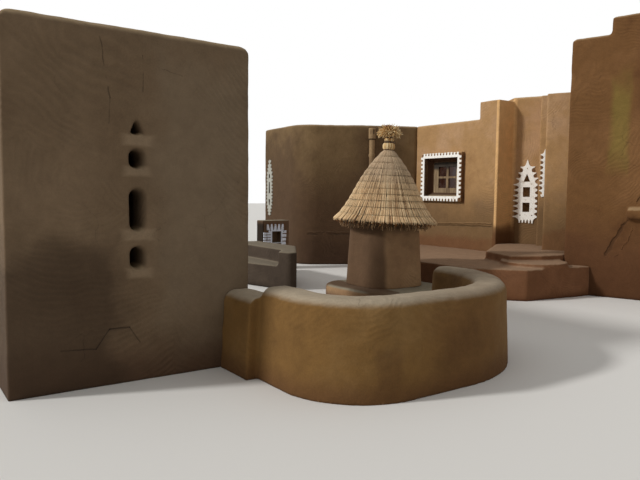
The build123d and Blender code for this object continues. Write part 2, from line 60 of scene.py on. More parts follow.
Colour = tuple[float, float, float, float]
Point = tuple[float, float]
Socket = bpy.types.NodeSocket
Tree = bpy.types.NodeTree
Material = bpy.types.Material
Piece = bpy.types.Object


class Slot(Enum):
    """The record's finish slots."""

    MUD = "mud_plaster"
    OCHRE = "ochre_plaster"
    FLOOR = "floor_plaster"
    RELIEF = "mud_relief"
    STRAW = "straw_thatch"
    PIPE = "clay_coated_pipe"


# Helpers for finishes


def linear(code: str) -> Colour:
    """Turns an sRGB hex colour into linear numbers.

    Args:
        code: Six hex digits after a hash.

    Returns:
        Red, green, blue and an alpha of one.
    """
    parts = [int(code[start:start + 2], 16) / 255 for start in (1, 3, 5)]
    red, green, blue = (c / 12.92 if c <= 0.04045 else ((c + 0.055) / 1.055) ** 2.4 for c in parts)
    return red, green, blue, 1.0


def scale_for(width: float) -> float:
    """Gives the scale, to a tenth, of a pattern whose features are so many millimetres wide."""
    return round(1000 / width, 1)


def add(
    tree: Tree,
    kind: str,
    inputs: dict[int | str, object],
    output: int | str,
    **settings: object,
) -> Socket:
    """Adds a shader node, sets it up and links what it reads.

    Args:
        tree: Node tree to add to.
        kind: Type of the node, without its ShaderNode prefix.
        inputs: Socket values by name or number; a socket is linked, anything else is set.
        output: Name or number of the output that is wanted.
        **settings: Properties of the node.

    Returns:
        The wanted output socket.
    """
    made = tree.nodes.new("ShaderNode" + kind)
    for name, value in settings.items():
        setattr(made, name, value)
    for key, value in inputs.items():
        if isinstance(value, Socket):
            tree.links.new(value, made.inputs[key])
        else:
            made.inputs[key].default_value = value
    return made.outputs[output]


def blend(
    tree: Tree,
    share: Socket,
    first: Colour | Socket,
    second: Colour | Socket,
) -> Socket:
    """Mixes two colours.

    Args:
        tree: Node tree to add to.
        share: How much of the second colour shows, from 0 to 1.
        first: Colour, or socket that gives it, where the share is zero.
        second: Colour where the share is one.

    Returns:
        The mixed colour.
    """
    return add(tree, "Mix", {0: share, 6: first, 7: second}, 2, data_type="RGBA")


def new_shader(name: str, **values: object) -> tuple[Material, bpy.types.Node]:
    """Starts a material with one Principled shader.

    Args:
        name: Name of the material.
        **values: Shader sockets to set, with spaces written as underscores.

    Returns:
        The material and its shader node.
    """
    material = bpy.data.materials.new(name)
    material.use_nodes = True
    shader = material.node_tree.nodes["Principled BSDF"]
    for key, value in values.items():
        shader.inputs[key.replace("_", " ")].default_value = value
    return material, shader


def hand_sweeps(
    tree: Tree,
    place: Socket,
    reach: float,
    ridge: float,
) -> Socket:
    """Fans of curved ridges, as a hand leaves them in wet mud.

    Args:
        tree: Node tree to add to.
        place: Object coordinates.
        reach: Width of one sweep, in metres.
        ridge: Spacing of the finger ridges, in metres.

    Returns:
        Height of the ridges, from -1 to 1, fading in and out between sweeps.
    """
    wobble = add(tree, "TexNoise", {"Vector": place, "Scale": 2.2 / reach, "Detail": 2.0}, "Color")
    bent = add(
        tree, "VectorMath", {0: wobble, 1: (0.22 * reach,) * 3, 2: place}, 0, operation="MULTIPLY_ADD"
    )
    cell = add(tree, "TexVoronoi", {"Vector": bent, "Scale": 1 / reach}, "Position")
    draw = cell.node.outputs["Color"]
    elbow = add(
        tree, "VectorMath", {0: draw, 1: (1.5 * reach,) * 3, 2: cell}, 0, operation="MULTIPLY_ADD"
    )
    radius = add(tree, "VectorMath", {0: bent, 1: elbow}, "Value", operation="DISTANCE")
    turn = add(tree, "Math", {0: radius, 1: 2 * math.pi / ridge}, 0, operation="MULTIPLY")
    wave = add(tree, "Math", {0: turn}, 0, operation="SINE")
    patch = add(tree, "TexNoise", {"Vector": place, "Scale": 1.1 / reach, "Detail": 3.0}, "Fac")
    shown = add(tree, "MapRange", {0: patch, 1: 0.42, 2: 0.66}, 0, interpolation_type="SMOOTHSTEP")
    return add(tree, "Math", {0: wave, 1: shown}, 0, operation="MULTIPLY")


def dry_cracks(
    tree: Tree,
    place: Socket,
    spacing: float,
    width: float,
    share: float,
) -> Socket:
    """Fine jagged cracks of drying mud that come and go over the wall.

    Args:
        tree: Node tree to add to.
        place: Object coordinates.
        spacing: Distance between cracks, in metres.
        width: Width of a crack, in metres.
        share: Share of the wall that has cracks.

    Returns:
        One in a crack and zero beside it.
    """
    jag = add(tree, "TexNoise", {"Vector": place, "Scale": 4 / spacing, "Detail": 4.0}, "Color")
    bent = add(
        tree, "VectorMath", {0: jag, 1: (0.35 * spacing,) * 3, 2: place}, 0, operation="MULTIPLY_ADD"
    )
    edge = add(
        tree,
        "TexVoronoi",
        {"Vector": bent, "Scale": 1 / spacing},
        "Distance",
        feature="DISTANCE_TO_EDGE",
    )
    line = add(
        tree,
        "MapRange",
        {0: edge, 1: 0.2 * width / spacing, 2: width / spacing, 3: 1.0, 4: 0.0},
        0,
        interpolation_type="SMOOTHSTEP",
    )
    patch = add(tree, "TexNoise", {"Vector": place, "Scale": 0.5 / spacing, "Detail": 2.0}, "Fac")
    shown = add(tree, "MapRange", {0: patch, 1: 0.62 - 0.3 * share, 2: 0.72 - 0.3 * share}, 0)
    return add(tree, "Math", {0: line, 1: shown}, 0, operation="MULTIPLY")


# Finishes

# The straw cap and its tuft lean a little to the viewer's right about a point under the bin's rim
LEAN_HEIGHT = 1.15
LEAN_ANGLE = 2.1
LEAN_AXIS = (0.574, 0.819, 0)
LEAN = (
    Matrix.Translation((0, 0, LEAN_HEIGHT))
    @ Matrix.Rotation(math.radians(LEAN_ANGLE), 4, LEAN_AXIS)
    @ Matrix.Translation((0, 0, -LEAN_HEIGHT))
)
LEAN_UP = LEAN.to_3x3() @ Vector((0, 0, 1))


@dataclass(frozen=True)
class Seam:
    """A crack, scar or ridge that runs from one point of a wall to another.

    Attributes:
        start: Where it starts, in metres.
        end: Where it ends.
        width: Its half width, in metres.
        wobble: How far it strays from the straight, in metres.
        tone: Tone of the mud on it, where 1 leaves it as it is; some seams use it for painted shadow or
            highlight.
        height: Height of the mud on it, in metres, below zero for a crack.
    """

    start: tuple[float, float, float]
    end: tuple[float, float, float]
    width: float = 0.006
    wobble: float = 0.04
    tone: float = 0.6
    height: float = -0.004

    def mask(self, tree: Tree, place: Socket) -> Socket:
        """Draws the seam as a mask.

        Args:
            tree: Node tree to add to.
            place: Object coordinates.

        Returns:
            One on the seam and zero beside it.
        """
        stray = (self.wobble,) * 3
        start, run = Vector(self.start) + Vector(stray), Vector(self.end) - Vector(self.start)
        jag = add(tree, "TexNoise", {"Vector": place, "Scale": scale_for(200), "Detail": 5.0}, "Color")
        bent = add(
            tree, "VectorMath", {0: jag, 1: (2 * self.wobble,) * 3, 2: place}, 0, operation="MULTIPLY_ADD"
        )
        ahead = add(tree, "VectorMath", {0: bent, 1: start}, 0, operation="SUBTRACT")
        reach = add(tree, "VectorMath", {0: ahead, 1: run}, "Value", operation="DOT_PRODUCT")
        share = add(tree, "MapRange", {0: reach, 2: run.length_squared}, 0)
        near = add(tree, "VectorMath", {0: share, 1: run, 2: start}, 0, operation="MULTIPLY_ADD")
        gap = add(tree, "VectorMath", {0: bent, 1: near}, "Value", operation="DISTANCE")
        fade = {0: gap, 1: 0.3 * self.width, 2: self.width, 3: 1.0, 4: 0.0}
        return add(tree, "MapRange", fade, 0, interpolation_type="SMOOTHSTEP")


@dataclass(frozen=True)
class StainOrShade:
    """A stretch of a wall that is darker, paler or of another colour: a stain, painted shade or light.

    Attributes:
        centre: Its middle, in metres.
        half: Half its size on each axis.
        colour: Its colour.
        share: How much of that colour shows.
        edge: How soft its edge is, as a share of its half size.
        ragged: How far its edge strays, as a share of its half size.
    """

    centre: tuple[float, float, float]
    half: tuple[float, float, float]
    colour: str
    share: float = 0.6
    edge: float = 0.35
    ragged: float = 1.0

    def mask(self, tree: Tree, place: Socket) -> Socket:
        """Draws the stain as a mask.

        Args:
            tree: Node tree to add to.
            place: Object coordinates.

        Returns:
            The stain's share inside it, fading to zero at its ragged edge.
        """
        noise = {"Vector": place, "Scale": scale_for(400), "Detail": 4.0}
        blur = add(tree, "TexNoise", noise, "Color")
        stray = Vector(self.half) * self.ragged
        bent = add(tree, "VectorMath", {0: blur, 1: stray, 2: place}, 0, operation="MULTIPLY_ADD")
        middle = Vector(self.centre) + stray * 0.5
        off = add(tree, "VectorMath", {0: bent, 1: middle}, 0, operation="SUBTRACT")
        off = add(tree, "VectorMath", {0: off, 1: self.half}, 0, operation="DIVIDE")
        off = add(tree, "VectorMath", {0: off}, 0, operation="ABSOLUTE")
        parts = add(tree, "SeparateXYZ", {0: off}, "X").node.outputs
        widest = add(tree, "Math", {0: parts[0], 1: parts[1]}, 0, operation="MAXIMUM")
        widest = add(tree, "Math", {0: widest, 1: parts[2]}, 0, operation="MAXIMUM")
        fade = {0: widest, 1: 1 - self.edge, 2: 1 + self.edge, 3: self.share, 4: 0.0}
        return add(tree, "MapRange", fade, 0, interpolation_type="SMOOTHSTEP")


@dataclass(frozen=True)
class MudPlaster:
    """Mud and chopped-straw render, swept on by hand and left unpainted.

    Attributes:
        name: Name of the material.
        body: Main colour of the dry mud.
        pale: Colour of thin, dusty patches.
        damp: Colour of damp, darker patches.
        dust: Colour of tops, where dust settles and rain washes the clay out.
        foot: Colour of the splashed foot of the wall.
        foot_height: Height to which rain splashes, in metres.
        reach: Width of one sweep of the hand, in metres.
        ridge: Spacing of the finger ridges, in metres.
        ridge_depth: Depth of the ridges, in metres.
        crack_share: Share of the surface that has fine cracks.
        low: Colour of the wall's lower stretch.
        low_from: Height up to which the lower colour is full, in metres.
        low_to: Height at which the lower colour has faded out, in metres.
        stains_and_shade: Stretches of another colour: real stains, painted shade and painted light.
        seams: Cracks, scars and ridges at known places.
    """

    name: str
    body: str
    pale: str
    damp: str
    dust: str
    foot: str
    foot_height: float = 0.35
    reach: float = 0.9
    ridge: float = 0.042
    ridge_depth: float = 0.0012
    crack_share: float = 0.1
    low: str = "#000000"
    low_from: float = 0.0
    low_to: float = 0.0
    stains_and_shade: tuple[StainOrShade, ...] = ()
    seams: tuple[Seam, ...] = ()

    def build(self) -> Material:
        """Builds the material: matt, grainy, blotched, ridged and cracked.

        Returns:
            The new material.
        """
        material, shader = new_shader(self.name, Roughness=0.94, Specular_IOR_Level=0.2)
        tree = material.node_tree
        place = add(tree, "TexCoord", {}, "Object")
        # Broad patches where the mud dried at another pace
        noise = {"Vector": place, "Scale": scale_for(900), "Detail": 5.0, "Roughness": 0.6}
        patch = add(tree, "TexNoise", noise, "Fac")
        dry = add(tree, "MapRange", {0: patch, 1: 0.45, 2: 0.68}, 0, interpolation_type="SMOOTHSTEP")
        wet = add(tree, "MapRange", {0: patch, 1: 0.46, 2: 0.28}, 0, interpolation_type="SMOOTHSTEP")
        colour = blend(tree, dry, linear(self.body), linear(self.pale))
        colour = blend(tree, wet, colour, linear(self.damp))
        height = add(tree, "SeparateXYZ", {0: place}, "Z")
        if self.low_to > self.low_from:
            # Lower stretch, darker towards the bottom
            reached = add(tree, "Math", {0: patch, 1: -1.4, 2: height}, 0, operation="MULTIPLY_ADD")
            fade = {0: reached, 1: self.low_from - 0.7, 2: self.low_to - 0.7, 3: 0.92, 4: 0.0}
            low = add(tree, "MapRange", fade, 0, interpolation_type="SMOOTHSTEP")
            colour = blend(tree, low, colour, linear(self.low))
        # Foot of the wall, darker and browner from splashing
        reached = add(
            tree, "Math", {0: patch, 1: -0.9 * self.foot_height, 2: height}, 0, operation="MULTIPLY_ADD"
        )
        fade = {0: reached, 1: -0.4 * self.foot_height, 2: 0.6 * self.foot_height, 3: 0.85, 4: 0.0}
        foot = add(tree, "MapRange", fade, 0, interpolation_type="SMOOTHSTEP")
        colour = blend(tree, foot, colour, linear(self.foot))
        # Tops, pale with settled dust
        upward = add(tree, "SeparateXYZ", {0: add(tree, "NewGeometry", {}, "Normal")}, "Z")
        top = add(tree, "MapRange", {0: upward, 1: 0.35, 2: 0.85}, 0, interpolation_type="SMOOTHSTEP")
        colour = blend(tree, top, colour, linear(self.dust))
        # Stains, and patches of painted shade and painted light
        for tint in self.stains_and_shade:
            colour = blend(tree, tint.mask(tree, place), colour, linear(tint.colour))
        # Mottling about a hand wide
        noise = {"Vector": place, "Scale": scale_for(143), "Detail": 6.0, "Roughness": 0.7}
        mottle = add(tree, "TexNoise", noise, "Fac")
        shade = add(tree, "MapRange", {0: mottle, 1: 0.3, 2: 0.7, 3: 0.9, 4: 1.1}, 0)
        # Grain of sand and chopped straw, drawn about three times too coarse so that it shows
        noise = {"Vector": place, "Scale": scale_for(13.33), "Detail": 3.0, "Roughness": 0.7}
        grain = add(tree, "TexNoise", noise, "Fac")
        speck = add(tree, "MapRange", {0: grain, 1: 0.3, 2: 0.7, 3: 0.92, 4: 1.08}, 0)
        sweeps = hand_sweeps(tree, place, self.reach, self.ridge)
        stroke = add(tree, "Math", {0: sweeps, 1: 0.05, 2: 1.0}, 0, operation="MULTIPLY_ADD")
        crack = dry_cracks(tree, place, 0.42, 0.004, self.crack_share)
        groove = add(tree, "Math", {0: crack, 1: -0.3, 2: 1.0}, 0, operation="MULTIPLY_ADD")
        tone = add(tree, "Math", {0: shade, 1: speck}, 0, operation="MULTIPLY")
        tone = add(tree, "Math", {0: tone, 1: stroke}, 0, operation="MULTIPLY")
        tone = add(tree, "Math", {0: tone, 1: groove}, 0, operation="MULTIPLY")
        # Relief in metres: lumps, ridges, grain and cracks
        relief = add(tree, "Math", {0: mottle, 1: 0.008}, 0, operation="MULTIPLY")
        relief = add(
            tree, "Math", {0: sweeps, 1: self.ridge_depth, 2: relief}, 0, operation="MULTIPLY_ADD"
        )
        relief = add(tree, "Math", {0: grain, 1: 0.0022, 2: relief}, 0, operation="MULTIPLY_ADD")
        relief = add(tree, "Math", {0: crack, 1: -0.002, 2: relief}, 0, operation="MULTIPLY_ADD")
        # Each seam's tone: real marks, and painted shadow and highlight along grooves and ridges
        for seam in self.seams:
            mark = seam.mask(tree, place)
            toned = add(tree, "Math", {0: mark, 1: seam.tone - 1, 2: 1.0}, 0, operation="MULTIPLY_ADD")
            tone = add(tree, "Math", {0: tone, 1: toned}, 0, operation="MULTIPLY")
            relief = add(tree, "Math", {0: mark, 1: seam.height, 2: relief}, 0, operation="MULTIPLY_ADD")
        colour = add(tree, "VectorMath", {0: colour, "Scale": tone}, 0, operation="SCALE")
        tree.links.new(colour, shader.inputs["Base Color"])
        bump = add(tree, "Bump", {"Height": relief, "Strength": 1.0, "Distance": 1.0}, 0)
        tree.links.new(bump, shader.inputs["Normal"])
        return material


@dataclass(frozen=True)
class Straw:
    """Dry thatching straw, pale gold where new and grey-brown where weathered.

    Attributes:
        name: Name of the material.
        fresh: Colour of the palest stems.
        aged: Colour of the middling stems.
        dark: Colour of the darkest stems.
        grey: Colour that the weather gives the upper stems.
        grey_from: Height at which the greying starts, in metres.
        row_spacing: Height from one shaded row to the next, in metres; zero for none.
    """

    name: str
    fresh: str
    aged: str
    dark: str
    grey: str = "#8d7c66"
    grey_from: float = 9.0
    row_spacing: float = 0.0

    def build(self) -> Material:
        """Builds the material: each stem has its own tone, with fine streaks and a faint wax sheen.

        Returns:
            The new material.
        """
        material, shader = new_shader(self.name, Roughness=0.66, Specular_IOR_Level=0.3)
        tree = material.node_tree
        place = add(tree, "TexCoord", {}, "Object")
        stem = add(tree, "NewGeometry", {}, "Random Per Island")
        lively = add(tree, "MapRange", {0: stem, 1: 0.0, 2: 0.55}, 0)
        colour = blend(tree, lively, linear(self.dark), linear(self.aged))
        lively = add(tree, "MapRange", {0: stem, 1: 0.5, 2: 1.0}, 0)
        colour = blend(tree, lively, colour, linear(self.fresh))
        # Height along the leaning cap; the upper stems are greyer
        height = add(tree, "VectorMath", {0: place, 1: LEAN_UP}, "Value", operation="DOT_PRODUCT")
        patch = add(tree, "TexNoise", {"Vector": place, "Scale": scale_for(330), "Detail": 4.0}, "Fac")
        reached = add(tree, "Math", {0: patch, 1: 0.6, 2: height}, 0, operation="MULTIPLY_ADD")
        fade = {0: reached, 1: self.grey_from + 0.1, 2: self.grey_from + 0.6, 3: 0.0, 4: 0.75}
        weathered = add(tree, "MapRange", fade, 0, interpolation_type="SMOOTHSTEP")
        colour = blend(tree, weathered, colour, linear(self.grey))
        # Patches of weathering, and streaks about a stem wide that run down the stems
        shade = add(tree, "MapRange", {0: patch, 1: 0.3, 2: 0.7, 3: 0.84, 4: 1.12}, 0)
        drawn = add(tree, "Mapping", {"Vector": place, "Scale": (1.0, 1.0, 0.12)}, 0)
        noise = {"Vector": drawn, "Scale": scale_for(11.11), "Detail": 3.0}
        streak = add(tree, "TexNoise", noise, "Fac")
        line = add(tree, "MapRange", {0: streak, 1: 0.3, 2: 0.7, 3: 0.84, 4: 1.12}, 0)
        tone = add(tree, "Math", {0: shade, 1: line}, 0, operation="MULTIPLY")
        if self.row_spacing:
            # Painted shadow where each tied row presses the stems in
            turn = add(tree, "Math", {0: height, 1: 1 / self.row_spacing}, 0, operation="MULTIPLY")
            share = add(tree, "Math", {0: turn}, 0, operation="FRACT")
            off = add(tree, "Math", {0: share, 1: 0.5}, 0, operation="SUBTRACT")
            off = add(tree, "Math", {0: off}, 0, operation="ABSOLUTE")
            row_shadow = add(tree, "MapRange", {0: off, 1: 0.3, 2: 0.5, 3: 1.0, 4: 0.85}, 0)
            tone = add(tree, "Math", {0: tone, 1: row_shadow}, 0, operation="MULTIPLY")
        colour = add(tree, "VectorMath", {0: colour, "Scale": tone}, 0, operation="SCALE")
        tree.links.new(colour, shader.inputs["Base Color"])
        bump = add(tree, "Bump", {"Height": streak, "Strength": 0.6, "Distance": 0.003}, 0)
        tree.links.new(bump, shader.inputs["Normal"])
        return material


@dataclass(frozen=True)
class LimeRelief:
    """White lime-washed clay ornament, chalky, with grime in its hollows.

    Attributes:
        name: Name of the material.
        white: Colour of the clean wash.
        grime: Colour of the stained patches.
    """

    name: str
    white: str
    grime: str

    def build(self) -> Material:
        """Builds the material: a chalky white with brown staining and small lumps.

        Returns:
            The new material.
        """
        material, shader = new_shader(self.name, Roughness=0.88, Specular_IOR_Level=0.3)
        tree = material.node_tree
        place = add(tree, "TexCoord", {}, "Object")
        # Grime in blotches about as wide as three fingers, and lumps a thumb wide
        noise = {"Vector": place, "Scale": scale_for(71.5), "Detail": 5.0, "Roughness": 0.7}
        tint = add(tree, "TexNoise", noise, "Fac")
        toned = add(tree, "MapRange", {0: tint, 1: 0.52, 2: 0.78}, 0, interpolation_type="SMOOTHSTEP")
        colour = blend(tree, toned, linear(self.white), linear(self.grime))
        tree.links.new(colour, shader.inputs["Base Color"])
        lumps = add(tree, "TexNoise", {"Vector": place, "Scale": scale_for(25), "Detail": 4.0}, "Fac")
        bump = add(tree, "Bump", {"Height": lumps, "Strength": 0.8, "Distance": 0.006}, 0)
        tree.links.new(bump, shader.inputs["Normal"])
        return material


@dataclass(frozen=True)
class WeatheredTimber:
    """Sawn softwood, sun-bleached on its faces, with brown grain and painted shadow under the lintel.

    Attributes:
        name: Name of the material.
        face: Colour of the bleached face.
        grain: Colour of the grain.
        lintel_shadow: Colour of the painted shadow under the lintel.
        shadow_from: Height at which the painted shadow starts, in metres.
        shadow_to: Height from which it covers the timber.
    """

    name: str
    face: str
    grain: str
    lintel_shadow: str
    shadow_from: float
    shadow_to: float

    def build(self) -> Material:
        """Builds the material: long grain up the stiles, pale and slightly rough.

        Returns:
            The new material.
        """
        material, shader = new_shader(self.name, Roughness=0.72, Specular_IOR_Level=0.35)
        tree = material.node_tree
        place = add(tree, "TexCoord", {}, "Object")
        # Grain up the stiles, drawn about four times too coarse so that it shows
        drawn = add(tree, "Mapping", {"Vector": place, "Scale": (1.0, 1.0, 0.06)}, 0)
        noise = {"Vector": drawn, "Scale": scale_for(16.67), "Detail": 5.0, "Distortion": 0.4}
        rings = add(tree, "TexNoise", noise, "Fac")
        dark = add(tree, "MapRange", {0: rings, 1: 0.42, 2: 0.68}, 0, interpolation_type="SMOOTHSTEP")
        colour = blend(tree, dark, linear(self.face), linear(self.grain))
        patch = add(tree, "TexNoise", {"Vector": place, "Scale": scale_for(200), "Detail": 4.0}, "Fac")
        shade = add(tree, "MapRange", {0: patch, 1: 0.3, 2: 0.7, 3: 0.8, 4: 1.15}, 0)
        colour = add(tree, "VectorMath", {0: colour, "Scale": shade}, 0, operation="SCALE")
        # Painted shadow of the lintel over the top rail
        height = add(tree, "SeparateXYZ", {0: place}, "Z")
        fade = {0: height, 1: self.shadow_from, 2: self.shadow_to, 3: 0.0, 4: 0.9}
        shadowed = add(tree, "MapRange", fade, 0, interpolation_type="SMOOTHSTEP")
        colour = blend(tree, shadowed, colour, linear(self.lintel_shadow))
        tree.links.new(colour, shader.inputs["Base Color"])
        bump = add(tree, "Bump", {"Height": rings, "Strength": 0.5, "Distance": 0.003}, 0)
        tree.links.new(bump, shader.inputs["Normal"])
        return material


@dataclass(frozen=True)
class DustyGlass:
    """Window glass over a dark room, with dust that dulls it.

    Attributes:
        name: Name of the material.
        depth: Colour of the clean glass with the dark room behind it.
        dust: Colour of the dust.
    """

    name: str
    depth: str
    dust: str

    def build(self) -> Material:
        """Builds the material: dark reddish, glossy, and dull where dust lies.

        Returns:
            The new material.
        """
        material, shader = new_shader(self.name, IOR=1.52, Specular_IOR_Level=0.5)
        tree = material.node_tree
        place = add(tree, "TexCoord", {}, "Object")
        film = add(tree, "TexNoise", {"Vector": place, "Scale": scale_for(167), "Detail": 5.0}, "Fac")
        dusty = add(tree, "MapRange", {0: film, 1: 0.4, 2: 0.75, 3: 0.05, 4: 0.5}, 0)
        colour = blend(tree, dusty, linear(self.depth), linear(self.dust))
        tree.links.new(colour, shader.inputs["Base Color"])
        rough = add(tree, "MapRange", {0: film, 1: 0.35, 2: 0.75, 3: 0.08, 4: 0.35}, 0)
        tree.links.new(rough, shader.inputs["Roughness"])
        return material


FRONT_MUD = MudPlaster(
    "grey_brown_mud_plaster", "#6c5944", "#77634d", "#5d4a37", "#9d8768", "#523c2c", 0.5,
    reach=1.3, ridge=0.05, ridge_depth=0.003, crack_share=0.05,
    stains_and_shade=(
        # Darker foot of the left corner
        StainOrShade((-5.4, -2.3, 0.5), (0.5, 0.5, 0.62), "#3f3023", 0.7, 0.25),
        # Drier, paler stretch right of the vents
        StainOrShade((-4.15, -2.3, 1.6), (0.45, 0.5, 1.2), "#7a6a56", 0.55, 0.35),
        # Paler sills under the four vents
        StainOrShade((-4.74, -2.33, 2.03), (0.12, 0.12, 0.045), "#8f7b63", 0.6, 0.4),
        StainOrShade((-4.74, -2.33, 1.77), (0.10, 0.12, 0.04), "#8f7b63", 0.6, 0.4),
        StainOrShade((-4.74, -2.33, 1.24), (0.12, 0.12, 0.045), "#8f7b63", 0.6, 0.4),
        StainOrShade((-4.74, -2.33, 0.92), (0.10, 0.12, 0.04), "#8f7b63", 0.6, 0.4),
    ),
    seams=(
        # Crack from the parapet, fading as it runs down
        Seam((-5.05, -2.349, 2.83), (-4.97, -2.349, 2.35), 0.007, 0.03),
        Seam((-4.97, -2.349, 2.35), (-4.98, -2.349, 2.15), 0.005, 0.02, 0.72, -0.002),
        # Two short, faint cracks to its right
        Seam((-4.70, -2.349, 2.72), (-4.70, -2.349, 2.42), 0.005, 0.03, 0.7, -0.003),
        Seam((-4.55, -2.349, 2.64), (-4.35, -2.349, 2.60), 0.004, 0.03, 0.75, -0.002),
        # Stepped crack over the foot
        Seam((-5.37, -2.349, 0.34), (-5.11, -2.349, 0.32), 0.008, 0.02, 0.6),
        Seam((-5.11, -2.349, 0.32), (-5.00, -2.349, 0.47), 0.009, 0.015, 0.5),
        Seam((-5.00, -2.349, 0.47), (-4.83, -2.349, 0.47), 0.009, 0.012, 0.5),
        Seam((-4.83, -2.349, 0.47), (-4.74, -2.349, 0.33), 0.007, 0.015, 0.6),
    ),
)
OCHRE_MUD = MudPlaster(
    "ochre_mud_plaster", "#76572f", "#85673f", "#604524", "#a3947e", "#5e4025", 0.25,
    stains_and_shade=(
        # Damp foot at the corner and along the front, and painted shade over the far end
        StainOrShade((-3.35, -3.97, 0.25), (0.10, 0.4, 0.17), "#5f4226", 0.5, 0.4),
        StainOrShade((-2.35, -3.85, 0.3), (0.55, 0.5, 0.45), "#5d3f24", 0.45, 0.5),
        StainOrShade((-1.0, -3.6, 0.4), (0.55, 0.9, 0.38), "#5a3f26", 0.6, 0.4),
    ),
)
WING_MUD = MudPlaster(
    "brown_mud_plaster", "#765f41", "#846b4b", "#654d34", "#a08767", "#433023", 0.95,
    low="#543e2c", low_from=1.15, low_to=2.75,
    stains_and_shade=(
        # Darker stretch round the rain pipe
        StainOrShade((2.75, 3.3, 1.6), (0.45, 0.5, 1.7), "#55402f", 0.5, 0.4),
        # Left side, which lies in shadow
        StainOrShade((1.2, 5.3, 1.5), (0.35, 0.9, 1.5), "#4f3c2b", 0.75, 0.3),
    ),
    seams=(
        # Ridge across the front with a painted highlight, and painted shadow in the groove under it
        Seam((0.9, 4.5, 0.74), (3.5, 2.95, 0.74), 0.02, 0.03, 1.22, 0.016),
        Seam((0.9, 4.5, 0.69), (3.5, 2.95, 0.69), 0.02, 0.03, 0.7, -0.01),
    ),
)
LIGHT_MUD = MudPlaster(
    "light_mud_plaster", "#a98459", "#b5916d", "#95714a", "#bfa27c", "#6e4e35", 0.9,
    low="#6f5538", low_from=1.0, low_to=2.1,
    stains_and_shade=(
        # Painted shade inside the window's opening, and its dusty sill
        StainOrShade((3.54, 2.146, 2.02), (0.098, 0.496, 0.43), "#371e13", 0.92, 0.03, 0.02),
        StainOrShade((3.545, 2.146, 1.56), (0.1, 0.475, 0.05), "#8d7a60", 0.92, 0.05, 0.05),
        # Edge of the stepped pier, which catches the sun
        StainOrShade((3.74, 0.68, 2.3), (0.25, 0.06, 1.35), "#dfb27a", 0.9, 0.1, 0.1),
        # Shaded right side of the window surround
        StainOrShade((3.475, 1.545, 1.99), (0.045, 0.03, 0.55), "#5d3a22", 0.8, 0.2),
        # Feet of the stepped pier, the small pier and the window wall
        StainOrShade((3.75, 0.68, 0.72), (0.3, 0.08, 0.3), "#5f3b22", 0.6, 0.2),
        StainOrShade((3.45, -0.85, 0.45), (0.35, 0.6, 0.52), "#6d4a2e", 0.65, 0.1),
        StainOrShade((3.55, 1.9, 0.55), (0.3, 1.2, 0.16), "#6b3f26", 0.45, 0.5),
    ),
    seams=(
        # Ridge in two runs across the window wall, with a painted highlight, and the groove under it in
        # painted shadow
        Seam((3.515, 2.6, 0.98), (3.515, 1.9, 1.0), 0.022, 0.03, 1.15, 0.016),
        Seam((3.515, 1.9, 1.0), (3.515, 0.8, 1.05), 0.024, 0.03, 1.22, 0.018),
        Seam((3.515, 2.6, 0.93), (3.515, 0.8, 0.98), 0.022, 0.03, 0.74, -0.012),
    ),
)
BLOCK_MUD = MudPlaster(
    "reddish_mud_plaster", "#6c4b2b", "#785534", "#593a20", "#987c5a", "#4e311c", 0.8,
    low="#593a23", low_from=0.7, low_to=1.6,
    stains_and_shade=(
        # Greenish streak, and a brown one that starts at the parapet
        StainOrShade((2.99, -2.10, 2.75), (0.07, 0.12, 0.6), "#7d7234", 0.45, 0.5),
        StainOrShade((3.15, -2.60, 3.6), (0.1, 0.25, 0.6), "#5a3a26", 0.5, 0.5),
    ),
    seams=(
        # Scar that runs down past the ledge's end, and the ridge beside it
        Seam((3.10, -2.44, 1.62), (2.95, -1.99, 0.68), 0.035, 0.06, 0.72, -0.02),
        Seam((3.13, -2.52, 1.50), (2.99, -2.10, 0.60), 0.02, 0.08, 1.15, 0.012),
        # Thin pale streak above the ledge
        Seam((3.08, -2.38, 3.6), (3.09, -2.42, 1.9), 0.008, 0.05, 1.15, 0.0),
    ),
)
BIN_MUD = MudPlaster(
    "bin_mud_plaster", "#8f7051", "#997a58", "#7a5e44", "#8f8672", "#6b5240", 0.1,
    stains_and_shade=(
        # Left face, which lies in shadow, and the shade under the eave
        StainOrShade((-0.55, 0.0, 0.62), (0.2, 0.8, 0.62), "#604935", 0.95, 0.2, 0.15),
        StainOrShade((0.0, 0.0, 1.16), (0.7, 0.7, 0.1), "#4a3728", 0.6, 0.6, 0.3),
    ),
)
# Mud of the seat, darkened all over with painted shadow
SEAT_MUD_IN_SHADOW = MudPlaster("seat_mud_painted_shadow", "#42372d", "#4c4035", "#382e25", "#766b5a", "#382e25", 0.1)
LAMP_MUD = MudPlaster(
    "lamp_mud_plaster", "#6b533f", "#79614b", "#5a4433", "#8f8672", "#4c3a2c", 0.1,
    # Left side, which lies in shadow
    stains_and_shade=(StainOrShade((0.01, 4.2, 0.45), (0.03, 0.5, 0.55), "#1d150d", 0.95, 0.15, 0.05),),
)
FLOOR_MUD = MudPlaster("floor_mud_plaster", "#6f4a30", "#7d563b", "#5e3c26", "#8f735a", "#613e27", 0.1)
PIPE_MUD = MudPlaster(
    "clay_pipe_coating", "#9a7f5d", "#a78d69", "#7c644a", "#a58c6c", "#6a5038", 0.2,
    stains_and_shade=(
        # Two dark marks on the head, the shadow line under it, and the darker lower stretch
        StainOrShade((2.468, 3.372, 3.0), (0.024, 0.03, 0.05), "#21160e", 0.95, 0.15, 0.1),
        StainOrShade((2.532, 3.328, 3.0), (0.024, 0.03, 0.05), "#21160e", 0.95, 0.15, 0.1),
        StainOrShade((2.547, 3.412, 2.838), (0.14, 0.14, 0.014), "#2c1f14", 0.9, 0.3, 0.1),
        StainOrShade((2.56, 3.4, 0.9), (0.4, 0.4, 1.1), "#5b4330", 0.6, 0.4),
    ),
)
